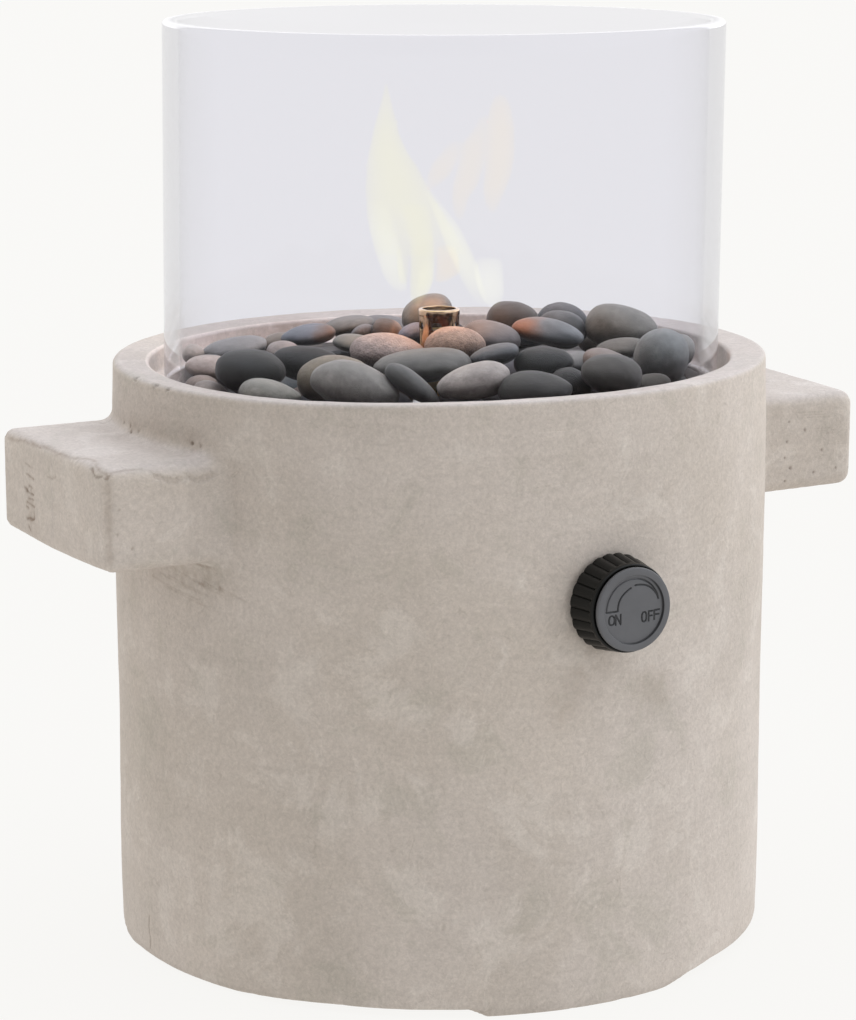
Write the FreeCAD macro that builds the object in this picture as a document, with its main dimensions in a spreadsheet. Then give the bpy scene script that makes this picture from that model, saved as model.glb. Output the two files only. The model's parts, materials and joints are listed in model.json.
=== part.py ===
import FreeCAD, Part
import math
import os
import Sketcher
from FreeCAD import Placement, Rotation, Vector

# Tabletop gas lantern: a cast concrete base with two lugs, a glass cylinder on a
# ledge in its rim, river pebbles in a steel pan round a brass burner, and a side
# knob that works the needle valve of a threaded gas cartridge hung in the base.
#
# Frame: millimetres, +Z up, the table is z = 0, the knob faces -Y, the lugs point
# along +X and -X.  The origin is the bottom centre of the bounding box; the axis
# of the base stands at (0, axis_y), because the knob stands out of the front.

doc = FreeCAD.newDocument("tabletop_gas_lantern")

# --------------------------------------------------------------------------
# driving dimensions
# --------------------------------------------------------------------------
SIZES = [
    ("axis_y", 6.45, "distance of the base's axis behind the origin"),
    # concrete base
    ("base_bottom", 0.5, "height of the concrete feet above the table"),
    ("base_low_radius", 104.5, "outer radius at the bottom"),
    ("base_top_radius", 104.8, "outer radius at the rim"),
    ("rim_top", 187.6, "height of the rim's outer edge"),
    ("rim_fall", 1.1, "fall of the rim's top towards the glass"),
    ("rim_round", 2.0, "rounding of the rim's outer edge"),
    ("recess_radius", 93.0, "radius of the recess inside the rim"),
    ("ledge_top", 178.0, "height of the ledge that the glass stands on"),
    ("step_radius", 80.0, "radius of the step that takes the pan flange"),
    ("step_depth", 1.2, "depth of that step"),
    ("shelf_hole_radius", 70.0, "opening of the shelf"),
    ("shelf_bottom", 164.0, "underside of the shelf"),
    ("bay_radius", 90.0, "radius of the cartridge bay"),
    ("bay_round", 8.0, "fillet under the shelf"),
    ("low_edge_round", 0.8, "rounding of the bottom edges"),
    ("notch_height", 2.6, "height of the air gaps between the feet"),
    # lugs
    ("lug_width", 82.4, "width of a lug"),
    ("lug_reach", 134.5, "distance of a lug's end from the axis"),
    ("lug_root", 93.0, "where a lug starts inside the wall"),
    ("lug_tip_low", 137.0, "underside of a lug at its end"),
    ("lug_tip_high", 168.4, "top of a lug at its end"),
    ("lug_root_low", 136.7, "underside of a lug at its root"),
    ("lug_root_high", 168.4, "top of a lug at its root"),
    ("lug_round", 3.5, "rounding of a lug's edges"),
    ("lug_fillet", 4.0, "fillet between a lug and the base"),
    # pads under the feet
    ("pad_radius", 5.0, "radius of a pad"),
    ("pad_thickness", 1.3, "thickness of a pad"),
    ("pad_ring_radius", 97.1, "distance of a pad from the axis"),
    # glass
    ("glass_outer_radius", 88.6, "outer radius of the glass"),
    ("glass_wall", 5.0, "thickness of the glass"),
    ("glass_height", 115.0, "length of the glass cylinder"),
    ("glass_edge_round", 1.0, "fire-polished edges of the glass"),
    # pan
    ("pan_flange_radius", 79.6, "radius of the pan flange"),
    ("pan_outer_radius", 69.5, "outer radius of the pan wall"),
    ("pan_sheet", 1.2, "thickness of the pan sheet"),
    ("pan_bottom", 164.8, "underside of the pan"),
    ("pan_hole_radius", 6.15, "hole for the burner tube"),
    ("pan_screw_ring", 75.0, "distance of the flange screws from the axis"),
    ("insert_radius", 3.4, "radius of a cast-in thread insert"),
    ("insert_length", 10.8, "length of a cast-in thread insert"),
    # screws
    ("screw_shank", 1.98, "shank radius of the M4 screws"),
    ("screw_head", 3.6, "head radius of the M4 screws"),
    ("screw_head_height", 1.6, "head height of the M4 screws"),
    ("screw_clear", 2.15, "clearance hole for an M4 screw"),
    # bracket and heat shield
    ("bracket_sheet", 2.0, "thickness of the valve bracket"),
    ("bracket_depth", 24.0, "width of the bracket strip along Y"),
    ("bracket_leg", 26.0, "outside of a bracket leg"),
    ("bracket_foot", 44.0, "end of a bracket foot"),
    ("bracket_screw_x", 36.0, "distance of the bracket screws from the axis"),
    ("web_low", 117.0, "underside of the bracket web"),
    ("shield_radius", 58.0, "radius of the heat shield"),
    ("shield_sheet", 0.8, "thickness of the heat shield"),
    # valve
    ("knob_axis_z", 126.3, "height of the valve spindle"),
    ("neck_radius", 9.0, "threaded neck of the valve body"),
    ("block_half", 11.0, "half width of the valve block"),
    ("block_top", 136.0, "top of the valve block"),
    ("outlet_radius", 10.0, "radius of the outlet boss"),
    ("outlet_top", 148.0, "top of the outlet boss"),
    ("spindle_radius", 3.0, "radius of the spindle and its rod"),
    ("spindle_bore", 3.05, "bore of the valve body for the spindle"),
    ("needle_open", 0.75, "way of the needle from the open valve to its seat"),
    ("boss_radius", 7.0, "radius of the gland boss"),
    ("adapter_low", 88.0, "underside of the cartridge adapter"),
    # burner
    ("tube_radius", 6.0, "outer radius of the burner tube"),
    ("tube_bore", 5.0, "bore of the burner tube"),
    ("tube_top", 194.0, "top of the burner tube"),
    ("burner_radius", 6.6, "outer radius of the burner head"),
    ("burner_low", 184.0, "underside of the burner head"),
    ("burner_top", 202.0, "top of the burner head"),
    ("port_radius", 1.7, "radius of a flame port"),
    ("port_height", 196.2, "height of the flame ports"),
    ("port_turn", 35.8, "clockwise turn of the ports about the axis, degrees"),
    # knob
    ("knob_back", 107.5, "back of the knob, measured from the axis"),
    ("knob_body_length", 8.9, "length of the knob body"),
    ("knob_back_radius", 14.9, "radius of the knob at its back"),
    ("knob_front_radius", 14.2, "radius of the knob at its front"),
    ("dial_radius", 13.05, "radius of the dial disc"),
    ("dial_thickness", 1.5, "thickness of the dial disc"),
    ("bush_radius", 6.5, "outer radius of the wall bush"),
    # cartridge
    ("can_radius", 54.5, "radius of the cartridge"),
    ("can_bottom", 6.0, "underside of the cartridge"),
    ("can_sheet", 0.5, "thickness of the cartridge sheet"),
    ("stub_radius", 5.5, "threaded stub of the cartridge"),
    ("stub_top", 97.0, "top of the threaded stub"),
    # pebbles
    ("pebble_scale", 0.975, "shrink of the pebbles so that they only touch"),
]

sheet = doc.addObject("Spreadsheet::Sheet", "Sizes")
VALUE = {}
for row, (alias, value, words) in enumerate(SIZES, start=1):
    sheet.set("A%d" % row, alias)
    sheet.set("B%d" % row, "%g" % value)
    sheet.setAlias("B%d" % row, alias)
    sheet.set("C%d" % row, words)
    VALUE[alias] = value
doc.recompute()


class Size:
    """A number together with the spreadsheet expression that it comes from."""

    def __init__(self, value, text):
        self.value = float(value)
        self.text = text

    def __add__(self, other):
        other = size(other)
        return Size(self.value + other.value, "(%s + %s)" % (self.text, other.text))

    def __radd__(self, other):
        return size(other) + self

    def __sub__(self, other):
        other = size(other)
        return Size(self.value - other.value, "(%s - %s)" % (self.text, other.text))

    def __rsub__(self, other):
        return size(other) - self

    def __mul__(self, number):
        return Size(self.value * number, "(%s * %g)" % (self.text, number))

    def __neg__(self):
        return Size(-self.value, "(0 - %s)" % self.text)


def size(x):
    if isinstance(x, Size):
        return x
    return Size(x, "%.6g" % x)


def cell(alias):
    return Size(VALUE[alias], "Sizes.%s" % alias)


AXIS_Y = cell("axis_y")
NODES = []


def keep(obj, label):
    """Names an object as one of the lantern's pieces."""
    obj.Label = label
    NODES.append(obj)
    return obj


def place(obj, x=0, y=0, z=0, turn=None):
    """Places an object relative to the base's axis; the turn comes first."""
    x, y, z = size(x), size(y) + AXIS_Y, size(z)
    obj.Placement = Placement(
        Vector(x.value, y.value, z.value), turn if turn else Rotation()
    )
    obj.setExpression(".Placement.Base.x", x.text)
    obj.setExpression(".Placement.Base.y", y.text)
    obj.setExpression(".Placement.Base.z", z.text)
    return obj


OUTWARD = Rotation(Vector(1, 0, 0), 90)  # local +Z points out of the front, -Y


def plane_of(body, role):
    for feature in body.Origin.OriginFeatures:
        if feature.Role == role:
            return feature
    raise RuntimeError("no %s" % role)


def new_sketch(body, name, role, offset=None):
    sketch = body.newObject("Sketcher::SketchObject", name)
    sketch.AttachmentSupport = [(plane_of(body, role), "")]
    sketch.MapMode = "FlatFace"
    if offset is not None:
        offset = size(offset)
        sketch.AttachmentOffset = Placement(Vector(0, 0, offset.value), Rotation())
        sketch.setExpression(".AttachmentOffset.Base.z", offset.text)
    return sketch


def tie(sketch, geo, pos, x, y, tag):
    """Fixes one sketch point at (x, y), both driven by the sheet."""
    for kind, q, axis in (("DistanceX", x, -2), ("DistanceY", y, -1)):
        if abs(q.value) < 1e-9:
            sketch.addConstraint(Sketcher.Constraint("PointOnObject", geo, pos, axis))
            continue
        name = "%s_%s" % (tag, kind[-1])
        i = sketch.addConstraint(Sketcher.Constraint(kind, -1, 1, geo, pos, q.value))
        sketch.renameConstraint(i, name)
        sketch.setExpression("Constraints.%s" % name, q.text)


def outline(sketch, corners, tag="p"):
    """A closed outline.  A corner is (x, y) or (x, y, r): r rounds a square
    corner between two runs that are level and upright."""
    corners = [tuple(size(c) for c in corner) for corner in corners]
    n = len(corners)
    points = []  # (x, y, radius of the arc that starts here or None)
    for i, corner in enumerate(corners):
        if len(corner) == 2:
            points.append((corner[0], corner[1], None))
            continue
        x, y, r = corner
        px, py = corners[i - 1][0], corners[i - 1][1]
        nx, ny = corners[(i + 1) % n][0], corners[(i + 1) % n][1]

        def unit(ax, ay, bx, by):
            dx, dy = bx.value - ax.value, by.value - ay.value
            length = math.hypot(dx, dy)
            return round(dx / length), round(dy / length)

        ix, iy = unit(px, py, x, y)
        ox, oy = unit(x, y, nx, ny)
        points.append((x - r * ix, y - r * iy, r))
        points.append((x + r * ox, y + r * oy, None))
        points[-2] += ((x - r * ix + r * ox, y - r * iy + r * oy),)
    n = len(points)
    ends = []
    for i, point in enumerate(points):
        a = Vector(point[0].value, point[1].value, 0)
        b = Vector(points[(i + 1) % n][0].value, points[(i + 1) % n][1].value, 0)
        if point[2] is None:
            g = sketch.addGeometry(Part.LineSegment(a, b), False)
            ends.append((g, 1, 2, None))
        else:
            c = Vector(point[3][0].value, point[3][1].value, 0)
            r = point[2].value
            middle = (a + b) * 0.5 - c
            middle = c + middle * (r / middle.Length)
            g = sketch.addGeometry(Part.Arc(a, middle, b), False)
            first = sketch.getPoint(g, 1)
            if (first - a).Length < (first - b).Length:
                ends.append((g, 1, 2, point[2]))
            else:
                ends.append((g, 2, 1, point[2]))
    for i in range(n):
        g, start, end, r = ends[i]
        g2, start2, end2, r2 = ends[(i + 1) % n]
        sketch.addConstraint(Sketcher.Constraint("Coincident", g, end, g2, start2))
        tie(sketch, g, start, points[i][0], points[i][1], "%s%d" % (tag, i))
        if r is not None:
            j = sketch.addConstraint(Sketcher.Constraint("Radius", g, r.value))
            sketch.renameConstraint(j, "%s%d_r" % (tag, i))
            sketch.setExpression("Constraints.%s%d_r" % (tag, i), r.text)


def circle(sketch, x, y, r, tag):
    x, y, r = size(x), size(y), size(r)
    g = sketch.addGeometry(
        Part.Circle(Vector(x.value, y.value, 0), Vector(0, 0, 1), r.value), False
    )
    tie(sketch, g, 3, x, y, tag)
    i = sketch.addConstraint(Sketcher.Constraint("Radius", g, r.value))
    sketch.renameConstraint(i, "%s_r" % tag)
    sketch.setExpression("Constraints.%s_r" % tag, r.text)


def turned(name, corners):
    """A body turned about its local Z from half outlines of (radius, height)."""
    body = doc.addObject("PartDesign::Body", name)
    sketch = new_sketch(body, name + "_profile", "XZ_Plane")
    outline(sketch, corners)
    turn = body.newObject("PartDesign::Revolution", name + "_turn")
    turn.Profile = sketch
    turn.ReferenceAxis = (sketch, ["V_Axis"])
    turn.Angle = 360
    body.Tip = turn
    doc.recompute()
    return body


def cut_circles(body, name, role, circles, length=None, offset=None, back=False):
    """Pockets of circles (x, y, r); with no length they go right through."""
    sketch = new_sketch(body, name + "_sketch", role, offset)
    for i, (x, y, r) in enumerate(circles):
        circle(sketch, x, y, r, "c%d" % i)
    before = body.Shape.Volume
    pocket = body.newObject("PartDesign::Pocket", name)
    pocket.Profile = sketch
    if length is None:
        pocket.Type = "ThroughAll"
        pocket.Midplane = True
    else:
        length = size(length)
        pocket.Type = "Length"
        pocket.Length = length.value
        pocket.setExpression("Length", length.text)
        pocket.Reversed = back
    body.Tip = pocket
    doc.recompute()
    if body.Shape.Volume > before - 1e-3:
        raise RuntimeError("%s cuts nothing" % name)
    return pocket


def ring_pattern(body, feature, name, count, angle=360.0):
    pattern = body.newObject("PartDesign::PolarPattern", name)
    pattern.Originals = [feature]
    for axis in body.Origin.OriginFeatures:
        if axis.Role == "Z_Axis":
            pattern.Axis = (axis, [""])
    pattern.Angle = angle
    pattern.Occurrences = count
    body.Tip = pattern
    doc.recompute()
    return pattern


def cylinder(name, radius, height, x=0, y=0, z=0, turn=None):
    radius, height = size(radius), size(height)
    c = doc.addObject("Part::Cylinder", name)
    c.Radius = radius.value
    c.Height = height.value
    c.setExpression("Radius", radius.text)
    c.setExpression("Height", height.text)
    return place(c, x, y, z, turn)


def block(name, length, width, height, x=0, y=0, z=0, turn=None):
    b = doc.addObject("Part::Box", name)
    for side, q in (("Length", length), ("Width", width), ("Height", height)):
        q = size(q)
        setattr(b, side, q.value)
        b.setExpression(side, q.text)
    return place(b, x, y, z, turn)


def fuse(name, pieces):
    f = doc.addObject("Part::MultiFuse", name)
    f.Shapes = pieces
    return f


def cut(name, base, tool):
    c = doc.addObject("Part::Cut", name)
    c.Base = base
    c.Tool = tool
    return c


def group(name, pieces):
    g = doc.addObject("Part::Compound", name)
    g.Links = pieces
    return g


def hexagon(name, flats, height, x=0, y=0, z=0, turn=None):
    """A six-sided prism, flats across, standing on (x, y, z)."""
    flats, height = size(flats), size(height)
    p = doc.addObject("Part::Prism", name)
    p.Polygon = 6
    p.Circumradius = flats.value / math.sqrt(3)
    p.Height = height.value
    p.setExpression("Circumradius", "%s / sqrt(3)" % flats.text)
    p.setExpression("Height", height.text)
    return place(p, x, y, z, turn)


# --------------------------------------------------------------------------
# concrete base: turned shell with a shelf, four feet, two lugs cast on
# --------------------------------------------------------------------------
low, top = cell("base_bottom"), cell("rim_top")
r_low, r_top = cell("base_low_radius"), cell("base_top_radius")
edge = cell("low_edge_round")
ledge = cell("ledge_top")
step = cell("ledge_top") - cell("step_depth")

base = turned(
    "ConcreteBase",
    [
        (r_low, low, edge),
        (r_low, 6),
        (r_top, 180),
        (r_top, top, cell("rim_round")),
        (cell("recess_radius"), cell("rim_top") - cell("rim_fall"), 1.0),
        (cell("recess_radius"), ledge),
        (cell("step_radius"), ledge),
        (cell("step_radius"), step),
        (cell("shelf_hole_radius"), step),
        (cell("shelf_hole_radius"), cell("shelf_bottom")),
        (cell("bay_radius"), cell("shelf_bottom"), cell("bay_round")),
        (cell("bay_radius"), low, edge),
    ],
)
sketch = new_sketch(base, "lug_profiles", "XZ_Plane")
for side, tag in ((1, "east"), (-1, "west")):
    outline(
        sketch,
        [
            (cell("lug_root") * side, cell("lug_root_low")),
            (cell("lug_reach") * side, cell("lug_tip_low")),
            (cell("lug_reach") * side, cell("lug_tip_high")),
            (cell("lug_root") * side, cell("lug_root_high")),
        ],
        tag,
    )
lugs = base.newObject("PartDesign::Pad", "lugs")
lugs.Profile = sketch
lugs.Type = "Length"
lugs.Length = VALUE["lug_width"]
lugs.setExpression("Length", "Sizes.lug_width")
lugs.Midplane = True
base.Tip = lugs
doc.recompute()


def edge_points(e):
    a, b = e.ParameterRange
    return [e.valueAt(a + (b - a) * t) for t in (0.02, 0.25, 0.5, 0.75, 0.98)]


half = VALUE["lug_width"] / 2.0
picked = []
for i, e in enumerate(lugs.Shape.Edges, start=1):
    pts = edge_points(e)
    if all(abs(p.x) > 95.0 and abs(p.y) < half + 0.01 for p in pts):
        end = all(abs(abs(p.x) - VALUE["lug_reach"]) < 0.01 for p in pts)
        side = all(abs(abs(p.y) - half) < 0.01 for p in pts) and (
            abs(pts[-1].x - pts[0].x) > 10
        )
        if end or side:
            picked.append("Edge%d" % i)
soft = base.newObject("PartDesign::Fillet", "lug_edges")
soft.Base = (lugs, picked)
soft.Radius = VALUE["lug_round"]
soft.setExpression("Radius", "Sizes.lug_round")
base.Tip = soft
doc.recompute()
picked = []
for i, e in enumerate(soft.Shape.Edges, start=1):
    pts = edge_points(e)
    on_wall = all(
        abs(
            math.hypot(p.x, p.y)
            - (
                VALUE["base_low_radius"]
                + (VALUE["base_top_radius"] - VALUE["base_low_radius"])
                * (p.z - 6.0)
                / 174.0
            )
        )
        < 0.02
        for p in pts
    )
    if on_wall and all(130 < p.z < 172 and abs(p.y) < half + 0.5 for p in pts):
        if any(abs(p.y) < half + 0.2 for p in pts):
            picked.append("Edge%d" % i)
root = base.newObject("PartDesign::Fillet", "lug_roots")
root.Base = (soft, picked)
root.Radius = VALUE["lug_fillet"]
root.setExpression("Radius", "Sizes.lug_fillet")
base.Tip = root
doc.recompute()

# air gaps between the feet; angles from the front, -Y, towards +X
FEET = [(-21.0, 19.0), (65.0, 110.0), (158.0, 202.0), (250.0, 297.0)]
sketch = new_sketch(base, "air_gap_sketch", "XY_Plane", low)
for i in range(4):
    a0 = math.radians(FEET[i][1])
    a1 = math.radians(FEET[(i + 1) % 4][0] + (360 if i == 3 else 0))
    outline(
        sketch,
        [
            (86.0 * math.sin(a0), -86.0 * math.cos(a0)),
            (125.0 * math.sin(a0), -125.0 * math.cos(a0)),
            (125.0 * math.sin(a1), -125.0 * math.cos(a1)),
            (86.0 * math.sin(a1), -86.0 * math.cos(a1)),
        ],
        "g%d" % i,
    )
before = base.Shape.Volume
gaps = base.newObject("PartDesign::Pocket", "air_gaps")
gaps.Profile = sketch
gaps.Type = "Length"
gaps.Length = VALUE["notch_height"]
gaps.setExpression("Length", "Sizes.notch_height")
gaps.Reversed = True
base.Tip = gaps
doc.recompute()
if base.Shape.Volume > before - 1000:
    raise RuntimeError("the air gaps cut nothing")

# seats of the pads, one under each foot
FOOT_AT = [math.radians((a + b) / 2.0) for a, b in FEET]
cut_circles(
    base,
    "pad_seats",
    "XY_Plane",
    [
        (
            cell("pad_ring_radius") * math.sin(a),
            cell("pad_ring_radius") * -math.cos(a),
            cell("pad_radius") + 0.05,
        )
        for a in FOOT_AT
    ],
    length=cell("pad_thickness") - low,
    offset=low,
    back=True,
)
# hole of the spindle rod through the front wall
sketch = new_sketch(base, "rod_hole_sketch", "XZ_Plane")
circle(sketch, 0, cell("knob_axis_z"), cell("bush_radius"), "h")
before = base.Shape.Volume
hole = base.newObject("PartDesign::Pocket", "rod_hole")
hole.Profile = sketch
hole.Type = "Length"
hole.Length = 120
hole.Reversed = True
base.Tip = hole
doc.recompute()
if base.Shape.isInside(Vector(0, -98, VALUE["knob_axis_z"]), 0.01, False):
    hole.Reversed = False
    doc.recompute()
if base.Shape.isInside(Vector(0, -98, VALUE["knob_axis_z"]), 0.01, False):
    raise RuntimeError("the rod hole isn't through the front wall")
if not base.Shape.isInside(Vector(0, 98, VALUE["knob_axis_z"]), 0.01, False):
    raise RuntimeError("the rod hole also cuts the back wall")
# seats of the thread inserts in the shelf
DIAGONAL = [math.radians(a) for a in (45, 135, 225, 315)]
cut_circles(
    base,
    "insert_seats",
    "XY_Plane",
    [
        (
            cell("pan_screw_ring") * math.cos(a),
            cell("pan_screw_ring") * math.sin(a),
            cell("insert_radius"),
        )
        for a in DIAGONAL
    ],
    length=cell("insert_length"),
    offset=step,
)
place(base)
keep(base, "concrete_body")

# --------------------------------------------------------------------------
# pads, inserts, glass
# --------------------------------------------------------------------------
pads = [
    cylinder(
        "pad_%d" % i,
        cell("pad_radius"),
        cell("pad_thickness"),
        cell("pad_ring_radius") * math.sin(a),
        cell("pad_ring_radius") * -math.cos(a),
        0,
    )
    for i, a in enumerate(FOOT_AT)
]
keep(group("FootPads", pads), "foot_pads")

inserts = []
for i, a in enumerate(DIAGONAL):
    x, y = cell("pan_screw_ring") * math.cos(a), cell("pan_screw_ring") * math.sin(a)
    z = step - cell("insert_length")
    outer = cylinder(
        "insert_%d" % i, cell("insert_radius"), cell("insert_length"), x, y, z
    )
    bore = cylinder(
        "insert_bore_%d" % i, cell("screw_shank") + 0.02, 9.6, x, y, z + 1.2
    )
    inserts.append(cut("insert_cut_%d" % i, outer, bore))
keep(group("CastInserts", inserts), "cast_inserts")

r_out = cell("glass_outer_radius")
r_in = cell("glass_outer_radius") - cell("glass_wall")
round_ = cell("glass_edge_round")
glass = turned(
    "GlassCylinder",
    [
        (r_out, 0, round_),
        (r_out, cell("glass_height"), round_),
        (r_in, cell("glass_height"), round_),
        (r_in, 0, round_),
    ],
)
place(glass, 0, 0, ledge)
keep(glass, "glass_cylinder")

# --------------------------------------------------------------------------
# pebble pan, its screws, the valve bracket and the heat shield
# --------------------------------------------------------------------------
t = cell("pan_sheet")
p_low, p_out = cell("pan_bottom"), cell("pan_outer_radius")
pan = turned(
    "BurnerPan",
    [
        (cell("pan_flange_radius"), step),
        (cell("pan_flange_radius"), step + t),
        (p_out - t, step + t, 1.0),
        (p_out - t, p_low + t, 2.0),
        (cell("pan_hole_radius"), p_low + t),
        (cell("pan_hole_radius"), p_low),
        (p_out, p_low, 3.2),
        (p_out, step),
    ],
)
cut_circles(
    pan,
    "pan_holes",
    "XY_Plane",
    [(cell("bracket_screw_x"), 0, cell("screw_clear"))]
    + [(-cell("bracket_screw_x"), 0, cell("screw_clear"))]
    + [
        (
            cell("pan_screw_ring") * math.cos(a),
            cell("pan_screw_ring") * math.sin(a),
            cell("screw_clear"),
        )
        for a in DIAGONAL
    ],
)
place(pan)
keep(pan, "burner_pan")


def pan_head_screw(name, x, y, z, length):
    """A low pan-head screw with a cross recess, its head on z, shank down."""
    shank = cylinder(name + "_shank", cell("screw_shank"), length, x, y, size(z) - length)
    head = cylinder(
        name + "_head", cell("screw_head"), cell("screw_head_height"), x, y, z
    )
    whole = fuse(name + "_body", [shank, head])
    slot_z = size(z) + cell("screw_head_height") - 0.9
    a = block(name + "_slot_a", 4.0, 0.8, 2, size(x) - 2.0, size(y) - 0.4, slot_z)
    b = block(name + "_slot_b", 0.8, 4.0, 2, size(x) - 0.4, size(y) - 2.0, slot_z)
    return cut(name, whole, fuse(name + "_cross", [a, b]))


screws = [
    pan_head_screw(
        "pan_screw_%d" % i,
        cell("pan_screw_ring") * math.cos(a),
        cell("pan_screw_ring") * math.sin(a),
        step + t,
        9.5,
    )
    for i, a in enumerate(DIAGONAL)
]
keep(group("PanScrews", screws), "pan_screws")

# the strip bracket: two feet under the pan, two legs, a web that holds the valve
s = cell("bracket_sheet")
leg, foot = cell("bracket_leg"), cell("bracket_foot")
web = cell("web_low")
bracket = doc.addObject("PartDesign::Body", "ValveBracket")
sketch = new_sketch(bracket, "bracket_profile", "XZ_Plane")
outline(
    sketch,
    [
        (-leg, web, 3.0),
        (leg, web, 3.0),
        (leg, p_low - s, 1.0),
        (foot, p_low - s),
        (foot, p_low),
        (leg - s, p_low, 3.0),
        (leg - s, web + s, 1.0),
        (-leg + s, web + s, 1.0),
        (-leg + s, p_low, 3.0),
        (-foot, p_low),
        (-foot, p_low - s),
        (-leg, p_low - s, 1.0),
    ],
)
pad = bracket.newObject("PartDesign::Pad", "bracket_strip")
pad.Profile = sketch
pad.Length = VALUE["bracket_depth"]
pad.setExpression("Length", "Sizes.bracket_depth")
pad.Midplane = True
bracket.Tip = pad
doc.recompute()
cut_circles(
    bracket,
    "bracket_holes",
    "XY_Plane",
    [
        (0, 0, cell("neck_radius") + 0.1),
        (cell("bracket_screw_x"), 0, cell("screw_clear")),
        (-cell("bracket_screw_x"), 0, cell("screw_clear")),
    ],
)
place(bracket)
keep(bracket, "valve_bracket")

screws = [
    pan_head_screw(
        "bracket_screw_%d" % i, cell("bracket_screw_x") * k, 0, p_low + t, 7.6
    )
    for i, k in enumerate((1, -1))
]
keep(group("BracketScrews", screws), "bracket_screws")
nuts = []
for i, k in enumerate((1, -1)):
    x = cell("bracket_screw_x") * k
    z = p_low - s - 3.2
    body = hexagon("bracket_nut_%d" % i, 7.0, 3.2, x, 0, z)
    bore = cylinder("bracket_nut_bore_%d" % i, cell("screw_shank") + 0.02, 6, x, 0, z - 1)
    nuts.append(cut("bracket_nut_cut_%d" % i, body, bore))
keep(group("BracketNuts", nuts), "bracket_nuts")

shield_top = web
sh = cell("shield_sheet")
shield = turned(
    "HeatShield",
    [
        (cell("neck_radius") + 0.1, web - sh),
        (cell("shield_radius") - 4.0, web - sh),
        (cell("shield_radius"), web - sh - 4.0),
        (cell("shield_radius"), web - 4.0),
        (cell("shield_radius") - 4.0, web),
        (cell("neck_radius") + 0.1, web),
    ],
)
place(shield)
keep(shield, "heat_shield")

# --------------------------------------------------------------------------
# valve body: threaded neck below, block, gland boss to the front, outlet above
# --------------------------------------------------------------------------
kz = cell("knob_axis_z")
bh = cell("block_half")
neck_low = cell("adapter_low") + 17.0
neck = cylinder("valve_neck", cell("neck_radius"), web + s - neck_low, 0, 0, neck_low)
cube = block("valve_block", bh * 2, bh * 2, cell("block_top") - web - s, -bh, -bh, web + s)
outlet = cylinder(
    "valve_outlet",
    cell("outlet_radius"),
    cell("outlet_top") - cell("block_top"),
    0,
    0,
    cell("block_top"),
)
boss = cylinder("valve_boss", cell("boss_radius"), 13.0, 0, -bh, kz, OUTWARD)
solid = fuse("valve_solid", [neck, cube, outlet, boss])
inlet = cylinder("valve_inlet", 1.25, kz + 1.25 - neck_low + 1, 0, 0, neck_low - 1)
seat = cylinder("valve_seat", 1.0, 3.5, 0, 0, kz, OUTWARD)
spindle_bore = cylinder("valve_spindle_bore", cell("spindle_bore"), 30, 0, -2.4, kz, OUTWARD)
ring_bore = cylinder("valve_ring_bore", 3.36, 12, 0, -bh - 3.0, kz, OUTWARD)
rise = cylinder("valve_rise", 1.0, cell("block_top") - kz, 0, -4.6, kz)
chamber = cylinder("valve_chamber", 6.0, 30, 0, 0, cell("block_top") - 1.5)
bores = fuse("valve_bores", [inlet, seat, spindle_bore, ring_bore, rise, chamber])
keep(cut("ValveBody", solid, bores), "valve_body")

# cartridge adapter: screwed on the neck from below, it clamps shield and web
a_low = cell("adapter_low")
adapter = turned(
    "CartridgeAdapter",
    [
        (5.6, a_low),
        (15.0, a_low),
        (16.0, a_low + 1.0),
        (16.0, a_low + 15.0),
        (13.0, a_low + 18.0),
        (13.0, web - sh),
        (cell("neck_radius") + 0.03, web - sh),
        (cell("neck_radius") + 0.03, a_low + 16.5),
        (0.92, a_low + 16.5),
        (0.92, a_low + 11.0),
        (5.6, a_low + 11.0),
    ],
)
place(adapter)
keep(adapter, "cartridge_adapter")
seal = turned(
    "CartridgeSeal",
    [
        (2.5, cell("stub_top") + 0.05),
        (5.5, cell("stub_top") + 0.05),
        (5.5, a_low + 11.0),
        (2.5, a_low + 11.0),
    ],
)
place(seal)
keep(seal, "cartridge_seal")
pin_body = cylinder("pin_body", 0.9, 9.4, 0, 0, a_low + 7.0)
pin_bore = cylinder("pin_bore", 0.45, 14, 0, 0, a_low + 5.0)
keep(cut("CartridgePin", pin_body, pin_bore), "cartridge_pin")

# gas jet: a slotted brass plug with a fine bore, screwed into the outlet
jet = turned(
    "GasJet",
    [
        (1.6, cell("outlet_top") - 7.0),
        (5.97, cell("outlet_top") - 7.0),
        (5.97, cell("outlet_top") - 0.5),
        (2.6, cell("outlet_top") - 0.5),
        (1.9, cell("outlet_top") + 1.6),
        (0.3, cell("outlet_top") + 1.6),
        (0.3, cell("outlet_top") - 1.6),
        (1.6, cell("outlet_top") - 2.4),
    ],
)
place(jet)
keep(jet, "gas_jet")

# burner tube: a collar screwed over the outlet, air holes, a straight tube
out_r, tr, tb = cell("outlet_radius"), cell("tube_radius"), cell("tube_bore")
c_low = cell("block_top") + 3.0
c_top = cell("outlet_top") + 0.2
tube = turned(
    "MixingTube",
    [
        (out_r + 0.05, c_low),
        (out_r + 2.0, c_low),
        (out_r + 2.0, c_top),
        (tr, c_top + 3.5),
        (tr, cell("tube_top")),
        (tb, cell("tube_top")),
        (tb, c_top + 2.4),
        (tb + 1.0, c_top),
        (out_r + 0.05, c_top),
    ],
)
air = cut_circles(
    tube, "air_hole", "XZ_Plane", [(0, c_top + 6.4, 2.0)]
)
ring_pattern(tube, air, "air_holes", 2, 90)
place(tube)
keep(tube, "mixing_tube")
nut_hex = hexagon("locknut_hex", 17.0, 4.4, 0, 0, p_low + t)
nut_bore = cylinder("locknut_bore", tr + 0.03, 8, 0, 0, p_low)
keep(cut("TubeLocknut", nut_hex, nut_bore), "tube_locknut")

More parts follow.
